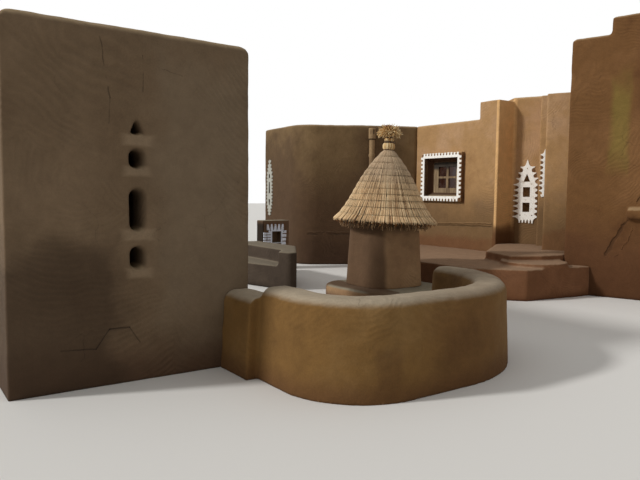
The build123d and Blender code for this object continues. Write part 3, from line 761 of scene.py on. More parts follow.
# Near-black copy of the dark mud, behind the wing ornament's gaps: deeper painted shade
HOLLOW_MUD_IN_SHADE = MudPlaster("hollow_mud_painted_shade", "#211a13", "#2b2219", "#1a140e", "#2b2219", "#1a140e", 0.1)
# Dark mud plates: painted shade between the ornaments' spikes, and the dark dots by the lamp
DARK_MUD_AND_SHADE = MudPlaster("dark_mud_and_painted_shade", "#6a4a2e", "#75543a", "#5a3d25", "#75543a", "#5a3d25", 0.1)
GOLD_STRAW = Straw(
    "thatching_straw", "#f3d8ac", "#e0be90", "#b6926a", "#b09a80", grey_from=1.75, row_spacing=0.1
)
EAVE_STRAW = Straw("eave_straw", "#d6b488", "#a8835a", "#6d482b")
KNOT_STRAW = Straw("tied_straw", "#f4dcae", "#e4c28a", "#bb8d54")
TUFT_STRAW = Straw("tuft_straw", "#f4dcac", "#e2c088", "#b48a54")
ROW_STRAW = Straw("row_straw", "#9a8260", "#84704f", "#6a573c")
RUST_STRAW = Straw("rust_straw", "#ad7234", "#8c5522", "#5f3614")
# Straw of the cap's and the knot's cores, darkened as painted shade in the gaps between stems
CORE_STRAW_IN_SHADE = Straw("packed_straw_painted_shade", "#7a5c38", "#634a2c", "#45331e")
TWINE = Straw("straw_twine", "#70482a", "#5b381f", "#432814")
WHITE_RELIEF = LimeRelief("lime_washed_clay", "#fbf8f0", "#b8a58e")
# The lime-washed clay, greyed all over with painted shade, for the wing's ornament
SHADED_RELIEF = LimeRelief("lime_clay_in_painted_shade", "#a9a79c", "#6b6255")
BLUE_RELIEF = LimeRelief("blue_washed_clay", "#e8edf8", "#93887f")
# Its last colour is the painted shadow under the lintel, from 2.13 m to 2.21 m up
TIMBER = WeatheredTimber("sun_bleached_timber", "#927b5c", "#5d452c", "#100a06", 2.13, 2.21)
GLASS = DustyGlass("dusty_window_glass", "#2c140c", "#4c3224")

Finish = MudPlaster | Straw | LimeRelief | WeatheredTimber | DustyGlass
_finished: dict[str, Material] = {}


def finish_of(recipe: Finish) -> Material:
    """Gives a finish's material, built once.

    Args:
        recipe: The finish.

    Returns:
        Its material, the same one each time.
    """
    if recipe.name not in _finished:
        _finished[recipe.name] = recipe.build()
    return _finished[recipe.name]


# Helpers for modelling


def pick_only(piece: Piece) -> None:
    """Selects one object and makes it the active one.

    Args:
        piece: The only object to select.
    """
    bpy.ops.object.select_all(action="DESELECT")
    piece.select_set(True)
    bpy.context.view_layer.objects.active = piece


def modify(piece: Piece, kind: str, **settings: object) -> None:
    """Gives a piece a modifier and applies it.

    Args:
        piece: Piece to change.
        kind: Type of the modifier.
        **settings: Properties of the modifier.
    """
    pick_only(piece)
    modifier = piece.modifiers.new(kind.title(), kind)
    for name, value in settings.items():
        setattr(modifier, name, value)
    bpy.ops.object.modifier_apply(modifier=modifier.name)


def fused_copy(name: str, nodes: Iterable[str]) -> Piece:
    """Copies CAD nodes into one new object and merges their corners.

    Args:
        name: Name of the new object.
        nodes: Names of the nodes.

    Returns:
        The new object; the nodes stay as they are.
    """
    copies = []
    for node in nodes:
        copy = bpy.data.objects.new(name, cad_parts[node].data.copy())
        copy.data.materials.clear()
        bpy.context.scene.collection.objects.link(copy)
        copies.append(copy)
    pick_only(copies[0])
    for copy in copies[1:]:
        copy.select_set(True)
    if len(copies) > 1:
        bpy.ops.object.join()
    fused = bpy.context.view_layer.objects.active
    bpy.ops.object.mode_set(mode="EDIT")
    bpy.ops.mesh.select_all(action="SELECT")
    bpy.ops.mesh.remove_doubles(threshold=0.0002)
    bpy.ops.object.mode_set(mode="OBJECT")
    fused.name = name
    fused.data.name = name
    return fused


def clouds(size: float) -> bpy.types.Texture:
    """Makes a cloud texture for uneven surfaces.

    Args:
        size: Width of its lumps, in metres.

    Returns:
        The new texture.
    """
    texture = bpy.data.textures.new(f"clouds_{size:g}", "CLOUDS")
    texture.noise_scale = size
    texture.noise_depth = 2
    return texture


def keep_inside(piece: Piece, sole: float) -> None:
    """Holds a piece inside the CAD box and sets its sole flat on the ground.

    Args:
        piece: Piece to hold.
        sole: Height below which a point belongs to the sole, in metres.
    """
    low, high = (np.array(corner) for corner in CAD_BOX)
    flat = np.empty(len(piece.data.vertices) * 3)
    piece.data.vertices.foreach_get("co", flat)
    points = flat.reshape(-1, 3)
    points[:] = np.clip(points, low, high)
    points[points[:, 2] < sole, 2] = low[2]
    piece.data.vertices.foreach_set("co", points.ravel())
    piece.data.update()


@dataclass(frozen=True)
class Skin:
    """How a mass of mud is wrapped in one uneven skin.

    Attributes:
        voxel: Width of a facet, in metres.
        swell: Depth of the broad unevenness, in metres.
        dents: Depth of hand-sized dents, in metres.
        rounding: Passes that soften the edges.
        kept: Share of the facets that stays.
    """

    voxel: float
    swell: float = 0.012
    dents: float = 0.006
    rounding: int = 3
    kept: float = 1.0

    def wrap(self, name: str, nodes: Sequence[str]) -> Piece:
        """Wraps CAD nodes in one closed, uneven mud skin.

        Args:
            name: Name of the piece.
            nodes: CAD nodes that it stands for.

        Returns:
            The new piece, which replaces the nodes.
        """
        piece = fused_copy(name, nodes)
        modify(piece, "REMESH", mode="VOXEL", voxel_size=self.voxel)
        modify(piece, "SMOOTH", factor=0.5, iterations=self.rounding)
        for size, strength in ((0.9, self.swell), (0.16, self.dents)):
            modify(
                piece,
                "DISPLACE",
                texture=clouds(size),
                texture_coords="LOCAL",
                mid_level=0.5,
                strength=strength,
            )
        if self.kept < 1:
            modify(piece, "DECIMATE", decimate_type="COLLAPSE", ratio=self.kept)
        keep_inside(piece, self.voxel)
        pick_only(piece)
        bpy.ops.object.shade_smooth()
        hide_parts(*nodes)
        return piece


def settle(piece: Piece, recipe: Finish) -> Piece:
    """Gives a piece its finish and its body.

    Args:
        piece: Piece to finish.
        recipe: Finish of the piece.

    Returns:
        The same piece.
    """
    piece.data.materials.clear()
    piece.data.materials.append(finish_of(recipe))
    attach(piece, BODY)
    return piece


def dress_node(node: str, recipe: Finish) -> None:
    """Gives a CAD node that stays visible its finish.

    Args:
        node: Name of the node.
        recipe: Finish of the node.
    """
    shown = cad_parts[node]
    if not shown.material_slots:
        shown.data.materials.append(finish_of(recipe))
    for place in shown.material_slots:
        place.material = finish_of(recipe)


@dataclass
class StemBundle:
    """A bundle of thin round stems, collected stem by stem and made one mesh.

    Attributes:
        name: Name of the piece.
        thickness: Thickness of a stem, in metres.
        paths: The stems, each as its points from end to end.
        closed: Whether each path is a loop.
        roundness: How finely a stem is rounded, where 0 gives four sides.
    """

    name: str
    thickness: float
    paths: list[list[Vector]] = field(default_factory=list)
    closed: bool = False
    roundness: int = 0

    def build(self) -> Piece:
        """Makes the bundle a mesh of stems that taper at their ends.

        Returns:
            The new mesh object, not yet finished.
        """
        curve = bpy.data.curves.new(self.name, "CURVE")
        curve.dimensions = "3D"
        curve.bevel_depth = self.thickness / 2
        curve.bevel_resolution = self.roundness
        curve.use_fill_caps = not self.closed
        for path in self.paths:
            spline = curve.splines.new("POLY")
            spline.points.add(len(path) - 1)
            spline.use_cyclic_u = self.closed
            for number, (point, spot) in enumerate(zip(spline.points, path)):
                point.co = (*spot, 1.0)
                point.radius = 1.0 if self.closed or number < len(path) - 1 else 0.55
        bundle = bpy.data.objects.new(self.name, curve)
        bpy.context.scene.collection.objects.link(bundle)
        pick_only(bundle)
        bpy.ops.object.convert(target="MESH")
        return bpy.context.view_layer.objects.active


@dataclass(frozen=True)
class WallFace:
    """A wall's outer face, seen from outside.

    Attributes:
        start: Where its left end stands on the ground, in metres.
        heading: Where it runs from there, in degrees anticlockwise from X.
    """

    start: Point
    heading: float

    def matrix(self) -> Matrix:
        """Works out where the face lies.

        Returns:
            The turn and shift from (along, up, out) to the frame.
        """
        turn = math.radians(self.heading)
        along = Vector((math.cos(turn), math.sin(turn), 0))
        up = Vector((0, 0, 1))
        axes = Matrix((along, up, along.cross(up))).transposed()
        return Matrix.Translation((*self.start, 0)) @ axes.to_4x4()

    def raise_plate(
        self, name: str, loops: Sequence[Sequence[Point]], rise: float
    ) -> Piece:
        """Raises a flat plate, with holes, from the face.

        Args:
            name: Name of the plate.
            loops: Its outline and holes, each as points (along, up) in metres.
            rise: How far it stands off the face, in metres.

        Returns:
            The plate as a mesh in place.
        """
        curve = bpy.data.curves.new(name, "CURVE")
        curve.dimensions = "2D"
        curve.fill_mode = "BOTH"
        curve.extrude = rise * 0.8
        curve.bevel_depth = rise * 0.2
        curve.bevel_resolution = 0
        for loop in loops:
            spline = curve.splines.new("POLY")
            spline.points.add(len(loop) - 1)
            spline.use_cyclic_u = True
            for point, (along, up) in zip(spline.points, loop):
                point.co = (along, up, 0, 1)
        flat = bpy.data.objects.new(name, curve)
        bpy.context.scene.collection.objects.link(flat)
        pick_only(flat)
        bpy.ops.object.convert(target="MESH")
        plate = bpy.context.view_layer.objects.active
        bpy.ops.object.mode_set(mode="EDIT")
        bpy.ops.mesh.select_all(action="SELECT")
        bpy.ops.mesh.remove_doubles(threshold=0.0001)
        bpy.ops.mesh.normals_make_consistent(inside=False)
        bpy.ops.object.mode_set(mode="OBJECT")
        plate.data.transform(self.matrix())
        return plate


def ring(centre: Point, width: float, height: float, sides: int = 6) -> list[Point]:
    """Gives a small oval loop round a point."""
    turns = [2 * math.pi * step / sides for step in range(sides)]
    return [(centre[0] + width / 2 * math.cos(t), centre[1] + height / 2 * math.sin(t)) for t in turns]


def oblong(left: float, right: float, low: float, high: float) -> list[Point]:
    """Gives the corners of an upright oblong."""
    return [(left, low), (right, low), (right, high), (left, high)]


def comb(
    start: Point,
    end: Point,
    pitch: float,
    length: float,
    draw: random.Random,
    root: float = 0.42,
    tip: float = 0.05,
) -> list[Point]:
    """Gives a row of teeth along a line, on its right-hand side.

    Args:
        start: Where the row starts, (along, up).
        end: Where the row ends.
        pitch: Wanted spacing of the teeth, in metres.
        length: Length of a tooth, in metres.
        draw: Seeded source of small irregularities.
        root: Half a tooth's width at its root, as a share of the spacing.
        tip: Half its width at its tip, as a share of the spacing.

    Returns:
        The points of the row.
    """
    run = Vector(end) - Vector(start)
    count = max(1, round(run.length / pitch))
    step = run / count
    out = Vector((step.y, -step.x)).normalized()
    waist = (root + 2 * tip) / 3
    points = []
    for number in range(count):
        middle = Vector(start) + step * (number + 0.5 + draw.uniform(-0.04, 0.04))
        reach = out * length * draw.uniform(0.85, 1.05)
        left = ((-root, 0.0), (-waist, 0.35), (-tip, 1.0))
        right = ((tip, 1.0), (waist, 0.35), (root, 0.0))
        points += [tuple(middle + step * side + reach * far) for side, far in left + right]
    return points


# Wall faces that carry ornament; the wing's starts on the wall's line, behind its end
WING_LEFT_FACE = WallFace((1.30, 6.599), -93.25)
LAMP_FACE = WallFace((0.02, 3.9), 0)
WINDOW_FACE = WallFace((3.435, 2.986), -90)
RECESS_FACE = WallFace((3.970, 0.680), -64.6)
PILASTER_FACE = WallFace((3.941, 0.041), -64.6)

# Sub-assemblies


@dataclass
class FrontRoom:
    """The front room: one hand-swept mud mass with its four vents."""

    skin: Skin = Skin(voxel=0.018, swell=0.016, dents=0.008, rounding=2, kept=0.25)

    def build(self) -> list[Piece]:
        """Builds and dresses the room."""
        nodes = [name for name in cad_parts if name.startswith("front_room_")]
        return [settle(self.skin.wrap("front_room_mud", nodes), FRONT_MUD)]


@dataclass
class LowWall:
    """The low courtyard wall, ochre, with its worn round top."""

    skin: Skin = Skin(voxel=0.014, swell=0.014, dents=0.009, rounding=3, kept=0.46)

    def build(self) -> list[Piece]:
        """Builds and dresses the wall."""
        nodes = [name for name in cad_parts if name.startswith("low_wall_")]
        return [settle(self.skin.wrap("low_wall_mud", nodes), OCHRE_MUD)]


@dataclass
class Granary:
    """The granary: mud plinth and bin, straw cap tied in rows, and a tied tuft.

    Attributes:
        stem: Thickness of a straw stem, in metres.
        butt: Thickness of the stems' butts at the eave, in metres.
        cord: Thickness of the straw twine, in metres.
        row_spacing: Height from one tied row to the next, in metres.
        pinch: How far a row presses the stems in, in metres.
        long_stems: How many stems run from the neck to the eave.
        eave_stems: How many short stems thicken the eave.
        eave_layers: How many layers deep they lie.
        eave_depth: How far under the eave the deepest layer lies, in metres.
        rust_layers: The layers of rust-brown butts just behind the eave's edge.
        rings: Start, height and radius of the knot's bulges, in metres.
        groove: Depth of the grooves between them, in metres.
        knot_stem: Thickness of the stems that are bound into the bulges, in metres.
        knot_tie: Thickness of the twine round them, in metres.
        tuft_stem: Thickness of the tuft's stems, in metres.
        tuft_stems: How many stems the tuft has.
        clump_stem: Thickness of the rust-brown clump's stems, in metres.
        clump_stems: How many stems the clump has.
        seed: Seed of the straw's irregularities.
        bell: The cap's outer line, as height and radius, read from the CAD.
    """

    stem: float = 0.010
    butt: float = 0.012
    cord: float = 0.006
    row_spacing: float = 0.1
    pinch: float = 0.009
    long_stems: int = 430
    eave_stems: int = 760
    eave_layers: int = 7
    eave_depth: float = 0.19
    rust_layers: tuple[int, ...] = (1, 2)
    rings: tuple[tuple[float, float, float], ...] = (
        (2.300, 0.130, 0.095),
        (2.430, 0.065, 0.075),
        (2.495, 0.060, 0.063),
    )
    groove: float = 0.014
    knot_stem: float = 0.019
    knot_tie: float = 0.011
    tuft_stem: float = 0.012
    tuft_stems: int = 420
    clump_stem: float = 0.010
    clump_stems: int = 150
    seed: int = 11
    bell: list[Point] = field(default_factory=list)

    def read_bell(self) -> None:
        """Reads the cap's outer line, set upright, from the CAD node."""
        upright = LEAN.inverted()
        corners = [upright @ vertex.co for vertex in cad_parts["granary_thatch"].data.vertices]
        eave = max(corners, key=lambda corner: corner.xy.length)
        # Corners nearer the axis belong to the hollow under the cap or, higher up, to its flat neck
        hollow_top, hollow_radius, neck_radius = 1.6, 0.32, 0.07
        line = {
            round(corner.z, 3): corner.xy.length
            for corner in corners
            if corner.z >= eave.z - 0.001
            and corner.xy.length > (hollow_radius if corner.z < hollow_top else neck_radius)
        }
        self.bell = sorted(line.items())

    def radius_at(self, height: float) -> float:
        """Gives the cap's outer radius, pressed in a little at the tied rows.

        Args:
            height: Height above the ground, in metres.

        Returns:
            The radius there, in metres.
        """
        heights = [row[0] for row in self.bell]
        radii = [row[1] for row in self.bell]
        off = abs(height / self.row_spacing - round(height / self.row_spacing)) * self.row_spacing
        pressed = self.pinch * math.exp(-((off / 0.022) ** 2)) if height > heights[0] + 0.03 else 0.0
        return float(np.interp(height, heights, radii)) - pressed

    def stem_path(
        self, turn: float, top: float, inset: float, lean: float, draw: random.Random
    ) -> list[Vector]:
        """Gives one stem's path down the cap, through every tied row and half row.

        Args:
            turn: Angle round the cap, in radians.
            top: Height at which the stem starts.
            inset: How deep the stem lies under the cap's outer line, in metres.
            lean: How far the stem may wander round the cap, in radians.
            draw: Seeded source of irregularities.

        Returns:
            The points from top to butt.
        """
        eave_height, eave_radius = self.bell[0]
        end = eave_height - inset * 0.6 - draw.triangular(-0.012, 0.04, 0.0)
        half = self.row_spacing / 2
        levels = [top]
        level = math.floor(top / half - 0.2) * half
        while level > eave_height + 0.02:
            levels.append(level)
            level -= half
        levels += [eave_height + 0.004, end]
        wander = draw.uniform(-lean, lean)
        path = []
        for height in levels:
            radius = self.radius_at(max(height, eave_height)) - inset
            if height < eave_height:
                radius += (eave_height - height) * 0.25
            angle = turn + wander * (top - height) / (top - end)
            path.append(Vector((radius * math.cos(angle), radius * math.sin(angle), height)))
        return path

    def tie(
        self, bundle: StemBundle, level: float, radius: float, wave: float, draw: random.Random
    ) -> None:
        """Adds one closed loop of twine to a bundle.

        Args:
            bundle: Bundle that takes the loop.
            level: Height of the loop.
            radius: Its radius.
            wave: How far it strays up and down, in metres.
            draw: Seeded source of irregularities.
        """
        phase = draw.uniform(0, 2 * math.pi)
        path = []
        steps = 48
        for step in range(steps):
            turn = 2 * math.pi * step / steps
            height = level + wave * math.sin(2 * turn + phase) + draw.uniform(-0.4, 0.4) * wave
            path.append(Vector((radius * math.cos(turn), radius * math.sin(turn), height)))
        bundle.paths.append(path)

    def lean_over(self, bundle: StemBundle, recipe: Straw) -> Piece:
        """Makes a bundle's mesh, leans it with the cap and dresses it.

        Args:
            bundle: Bundle of stems, set upright.
            recipe: Finish of its stems.

        Returns:
            The finished piece.
        """
        piece = bundle.build()
        piece.data.transform(LEAN)
        return settle(piece, recipe)

    def build_cap(self) -> list[Piece]:
        """Builds the cap: a packed core, long stems, a thick eave and tied rows.

        Returns:
            Its pieces.
        """
        draw = random.Random(self.seed)
        self.read_bell()
        eave_height = self.bell[0][0]
        neck_height = self.bell[-1][0]
        core = Skin(voxel=0.03, swell=0.012, dents=0.006, rounding=2).wrap("thatch_core", ["granary_thatch"])
        modify(core, "DISPLACE", mid_level=0.0, strength=-0.014)
        # The core shows between the stems, darkened as their painted shade
        settle(core, CORE_STRAW_IN_SHADE)
        cover = StemBundle("thatch_long_stems", self.stem)
        for number in range(self.long_stems):
            turn = 2 * math.pi * (number + draw.uniform(-0.45, 0.45)) / self.long_stems
            inset = self.stem / 2 + draw.uniform(-0.002, 0.012)
            cover.paths.append(self.stem_path(turn, neck_height, inset, 0.05, draw))
        for number in range(self.long_stems):
            turn = 2 * math.pi * (number + draw.uniform(-0.45, 0.45)) / self.long_stems
            inset = self.stem / 2 + draw.uniform(-0.001, 0.010)
            cover.paths.append(self.stem_path(turn, draw.uniform(1.55, 1.95), inset, 0.05, draw))
        brush = StemBundle("thatch_eave_stems", self.butt)
        butts = StemBundle("thatch_rust_butts", self.butt)
        for number in range(self.eave_stems):
            turn = 2 * math.pi * (number + draw.uniform(-0.5, 0.5)) / self.eave_stems
            layer = number % self.eave_layers
            deep = self.eave_depth * layer / (self.eave_layers - 1)
            inset = self.butt / 2 + deep + draw.uniform(-0.005, 0.02)
            top = eave_height + draw.uniform(0.06, 0.16)
            chosen = butts if layer in self.rust_layers else brush
            chosen.paths.append(self.stem_path(turn, top, inset, 0.05, draw))
        ties = StemBundle("thatch_tied_rows", self.cord, closed=True)
        row = math.ceil((eave_height + 0.05) / self.row_spacing)
        while row * self.row_spacing < neck_height - 0.04:
            level = (row + draw.uniform(-0.14, 0.14)) * self.row_spacing
            self.tie(ties, level, self.radius_at(level), 0.006, draw)
            row += 1
        bundles = (cover, GOLD_STRAW), (brush, EAVE_STRAW), (butts, RUST_STRAW), (ties, ROW_STRAW)
        return [core] + [self.lean_over(bundle, recipe) for bundle, recipe in bundles]

    def build_topknot(self) -> list[Piece]:
        """Builds the tied tuft: bound bulges of stems and a splayed, drooping brush.

        Returns:
            Its pieces.
        """
        draw = random.Random(self.seed + 1)
        skin = Skin(voxel=0.008, swell=0.004, dents=0.002, rounding=2)
        core = skin.wrap("topknot_core", ["granary_topknot"])
        brush_foot = self.rings[-1][0] + self.rings[-1][1]
        core.data.transform(LEAN.inverted())
        for vertex in core.data.vertices:
            slim = 0.86 if vertex.co.z < brush_foot else 0.3
            vertex.co.x *= slim
            vertex.co.y *= slim
            vertex.co.z = min(vertex.co.z, brush_foot + 0.09)
        core.data.transform(LEAN)
        # The core shows between the stems, darkened as their painted shade
        settle(core, CORE_STRAW_IN_SHADE)
        bulges = StemBundle("topknot_bulges", self.knot_stem, roundness=1)
        ties = StemBundle("topknot_ties", self.knot_tie, closed=True)
        self.tie(ties, self.rings[0][0] + 0.002, 0.076, 0.001, draw)
        steps = 6
        for start, height, radius in self.rings:
            inner = radius - self.groove - self.knot_stem / 2
            count = round(2 * math.pi * radius / 0.0215)
            for number in range(count):
                turn = 2 * math.pi * (number + draw.uniform(-0.15, 0.15)) / count
                path = []
                for step in range(steps + 1):
                    share = step / steps
                    out = inner + (self.groove + 0.003) * math.sin(math.pi * share) ** 0.7
                    level = start + height * (0.06 + 0.76 * share)
                    path.append(Vector((out * math.cos(turn), out * math.sin(turn), level)))
                bulges.paths.append(path)
            self.tie(ties, start + height * 0.9, radius - self.groove - 0.001, 0.001, draw)
        tuft = StemBundle("topknot_brush", self.tuft_stem)
        for _ in range(self.tuft_stems):
            turn = draw.uniform(0, 2 * math.pi)
            tilt = math.radians(draw.triangular(20, 135, 105))
            tuft.paths.append(self.tuft_path(brush_foot, turn, tilt, draw.uniform(0.14, 0.19), draw))
        clump = StemBundle("topknot_clump", self.clump_stem)
        for _ in range(self.clump_stems):
            turn = math.radians(draw.gauss(185, 38))
            tilt = math.radians(draw.uniform(2, 42))
            clump.paths.append(self.tuft_path(brush_foot, turn, tilt, draw.uniform(0.12, 0.15), draw))
        bundles = (bulges, KNOT_STRAW), (ties, TWINE), (tuft, TUFT_STRAW), (clump, RUST_STRAW)
        return [core] + [self.lean_over(bundle, recipe) for bundle, recipe in bundles]

    def tuft_path(
        self, foot: float, turn: float, tilt: float, length: float, draw: random.Random
    ) -> list[Vector]:
        """Gives one stem of the brush, which leaves the knot upright and droops outwards.

        Args:
            foot: Height at which the stem leaves the knot.
            turn: Direction in which it falls, in radians.
            tilt: Its angle from upright at its tip, in radians.
            length: Its length, in metres.
            draw: Seeded source of irregularities.

        Returns:
            The points from foot to tip.
        """
        start = draw.uniform(0.0, 0.04)
        spot = Vector((start * math.cos(turn), start * math.sin(turn), foot - 0.01))
        path = [spot.copy()]
        steps = 5
        for step in range(1, steps + 1):
            angle = tilt * (0.45 + 0.75 * step / steps)
            flat = math.sin(angle)
            run = Vector((flat * math.cos(turn), flat * math.sin(turn), math.cos(angle)))
            spot = spot + run * length / steps
            path.append(spot.copy())
        return path

    def build(self) -> list[Piece]:
        """Builds and dresses the whole granary.

        Returns:
            Its pieces.
        """
        skin = Skin(voxel=0.014, swell=0.010, dents=0.006, rounding=3, kept=0.35)
        pieces = [
            settle(skin.wrap("granary_plinth_mud", ["granary_plinth"]), BIN_MUD),
            settle(skin.wrap("granary_bin_mud", ["granary_bin"]), BIN_MUD),
        ]
        return pieces + self.build_cap() + self.build_topknot()


@dataclass
class Courtyard:
    """The mud seat, the lamp pedestal and the raised floor with its steps."""

    seat_skin: Skin = Skin(voxel=0.022, swell=0.012, dents=0.006)
    pedestal_skin: Skin = Skin(voxel=0.014, swell=0.006, dents=0.004, rounding=2)
    floor_skin: Skin = Skin(voxel=0.026, swell=0.012, dents=0.008, rounding=2, kept=0.5)

    def build(self) -> list[Piece]:
        """Builds and dresses the courtyard's pieces."""
        return [
            settle(self.seat_skin.wrap("mud_seat_skin", ["mud_seat", "mud_seat_back"]), SEAT_MUD_IN_SHADOW),
            settle(self.pedestal_skin.wrap("lamp_pedestal_mud", ["lamp_pedestal"]), LAMP_MUD),
            settle(
                self.floor_skin.wrap("raised_floor_mud", ["platform", "recess_step", "round_step"]),
                FLOOR_MUD,
            ),
        ]


@dataclass
class RearWing:
    """The rear wing with its rounded corner, its window wall and its rain pipe."""

    wing_skin: Skin = Skin(voxel=0.034, swell=0.02, dents=0.01, rounding=2, kept=0.35)
    bay_skin: Skin = Skin(voxel=0.018, swell=0.012, dents=0.006, rounding=2, kept=0.4)
    pipe_skin: Skin = Skin(voxel=0.012, swell=0.004, dents=0.003, rounding=2)
    surround_skin: Skin = Skin(voxel=0.01, swell=0.004, dents=0.004, rounding=2)

    def build(self) -> list[Piece]:
        """Builds and dresses the wing.

        Returns:
            Its pieces.
        """
        wing = [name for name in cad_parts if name.startswith("wing_")]
        bay = ["window_wall", "corner_pier", "recess_wall", "pilaster", "small_pier"]
        dress_node("window_casement", TIMBER)
        dress_node("window_panes", GLASS)
        return [
            settle(self.wing_skin.wrap("wing_mud", wing), WING_MUD),
            settle(self.bay_skin.wrap("window_bay_mud", bay), LIGHT_MUD),
            settle(self.pipe_skin.wrap("rain_pipe_clay", ["rain_pipe"]), PIPE_MUD),
            settle(
                self.surround_skin.wrap("window_surround_mud", ["window_surround"]),
                LIGHT_MUD,
            ),
        ]


@dataclass
class RightBlock:
    """The tall right block with its ledge."""

    skin: Skin = Skin(voxel=0.034, swell=0.02, dents=0.01, rounding=2, kept=0.3)

    def build(self) -> list[Piece]:
        """Builds and dresses the block."""
        nodes = [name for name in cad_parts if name.startswith("block_")]
        return [settle(self.skin.wrap("block_mud", nodes), BLOCK_MUD)]


@dataclass
class WhiteOrnament:
    """White mud ornament: round the niches, on the pilaster and wing, by the lamp and round the window.

    Attributes:
        pitch: Spacing of the spikes, in metres.
        rise: How far the white mud stands off the wall, in metres.
        dark_and_shade: How far the dark mud between the spikes, painted shade, stands off it, in metres.
        seed: Seed of the small irregularities.
        draw: Seeded source of them.
    """

    pitch: float = 0.105
    rise: float = 0.018
    dark_and_shade: float = 0.013
    seed: int = 5
    draw: random.Random = field(init=False)

    def __post_init__(self) -> None:
        """Seeds the irregularities."""
        self.draw = random.Random(self.seed)

    def pair(
        self,
        name: str,
        face: WallFace,
        white: Sequence[Sequence[Point]],
        dark: Sequence[Sequence[Point]],
        recipe: LimeRelief,
        dark_and_shade: MudPlaster = DARK_MUD_AND_SHADE,
    ) -> list[Piece]:
        """Raises one ornament and the dark mud between its spikes, which is painted shade.

        Args:
            name: Name of the ornament.
            face: Wall that carries it.
            white: Outline and holes of the white mud.
            dark: Outlines of the dark mud.
            recipe: Finish of the white mud.
            dark_and_shade: Finish of the dark mud.

        Returns:
            The two pieces.
        """
        return [
            settle(face.raise_plate(name, white, self.rise), recipe),
            settle(face.raise_plate(f"{name}_wash", dark, self.dark_and_shade), dark_and_shade),
        ]

    def leaves(self, start: Point, end: Point, width: float, height: float) -> list[list[Point]]:
        """Gives the dark ovals between the spikes along a line.

        Args:
            start: Where the row of spikes starts.
            end: Where it ends.
            width: Width of an oval, across the line of spikes.
            height: Its height.

        Returns:
            One loop for each gap.
        """
        run = Vector(end) - Vector(start)
        count = max(1, round(run.length / self.pitch))
        spots = [Vector(start) + run * number / count for number in range(1, count)]
        return [ring(tuple(spot), width, height, 8) for spot in spots]

    def recess_stack(self) -> list[Piece]:
        """Builds the spiked white band round the three niches of the recess.

        Returns:
            The ornament and the painted shade between its spikes.
        """
        left, right, low, shoulder = 0.144, 0.457, 1.137, 1.88
        middle, peak = 0.30, 2.22
        outline = comb((right, low), (right, shoulder), self.pitch, 0.05, self.draw, 0.46, 0.16)
        outline += comb((right, shoulder), (middle + 0.045, peak), self.pitch, 0.08, self.draw, 0.32)
        outline += [(middle + 0.03, peak + 0.01), (middle, 2.32), (middle - 0.03, peak + 0.01)]
        outline += comb((middle - 0.045, peak), (left, shoulder), self.pitch, 0.08, self.draw, 0.32)
        outline += comb((left, shoulder), (left, low), self.pitch, 0.1, self.draw)
        outline += comb((left, low), (right, low), 0.062, 0.078, self.draw, 0.44, 0.14)
        holes = [
            oblong(0.223, 0.367, 1.28, 1.474),
            oblong(0.223, 0.367, 1.582, 1.785),
            [(0.223, 1.886), (0.367, 1.886), (0.295, 2.059)],
            ring((middle, 2.155), 0.03, 0.034),
            ring((0.185, 1.215), 0.034, 0.034),
            ring((0.412, 1.215), 0.034, 0.034),
        ]
        for column, start in ((0.172, 1.30), (0.396, 1.31), (0.428, 1.29)):
            level = start
            while level < 1.9:
                holes.append(ring((column, level), 0.015, 0.018))
                level += 0.052
        dark = self.leaves((left - 0.038, shoulder), (left - 0.038, low), 0.06, 0.056)
        dark += self.leaves((right + 0.03, low), (right + 0.03, shoulder), 0.045, 0.04)
        dark += self.leaves((right + 0.02, shoulder + 0.03), (middle + 0.09, peak), 0.055, 0.055)
        dark += self.leaves((middle - 0.09, peak), (left - 0.02, shoulder + 0.03), 0.055, 0.055)
        return self.pair("recess_ornament", RECESS_FACE, [outline, *holes], dark, WHITE_RELIEF)

    def pilaster_stripe(self) -> list[Piece]:
        """Builds the spiked white stripe on the pilaster's front.

        Returns:
            The ornament and the painted shade between its spikes.
        """
        outline = [(0.075, 1.59), (0.148, 1.60), (0.150, 2.48), (0.125, 2.53), (0.105, 2.47)]
        outline += comb((0.095, 2.45), (0.090, 1.66), self.pitch, 0.062, self.draw)
        outline += [(0.085, 1.64), (0.06, 1.63)]
        dark = self.leaves((0.068, 2.45), (0.066, 1.66), 0.05, 0.058)
        return self.pair("pilaster_ornament", PILASTER_FACE, [outline], dark, WHITE_RELIEF)

    def wing_stack(self) -> list[Piece]:
        """Builds the slim pointed band on the wing's left side.

        Returns:
            The ornament and the painted shade behind its gaps.
        """
        right = [(0.88, 1.07), (0.975, 1.38), (0.985, 2.05), (0.88, 2.41)]
        outline = [right[0]]
        for start, end in zip(right, right[1:]):
            outline += comb(start, end, 0.085, 0.055, self.draw, 0.46, 0.2)
        outline.append(right[-1])
        left = [(0.88, 2.41), (0.785, 2.05), (0.775, 1.38), (0.88, 1.07)]
        for start, end in zip(left, left[1:]):
            outline += comb(start, end, 0.085, 0.045, self.draw, 0.46, 0.2)
        gaps = [
            oblong(0.845, 0.915, 1.97, 2.07),
            [(0.84, 1.60), (0.92, 1.60), (0.905, 1.88), (0.855, 1.88)],
            [(0.86, 1.31), (0.90, 1.31), (0.925, 1.46), (0.835, 1.46)],
        ]
        dark = [oblong(0.83, 0.93, 1.29, 2.09)]
        return self.pair(
            "wing_ornament", WING_LEFT_FACE, [outline, *gaps], dark, SHADED_RELIEF, HOLLOW_MUD_IN_SHADE
        )

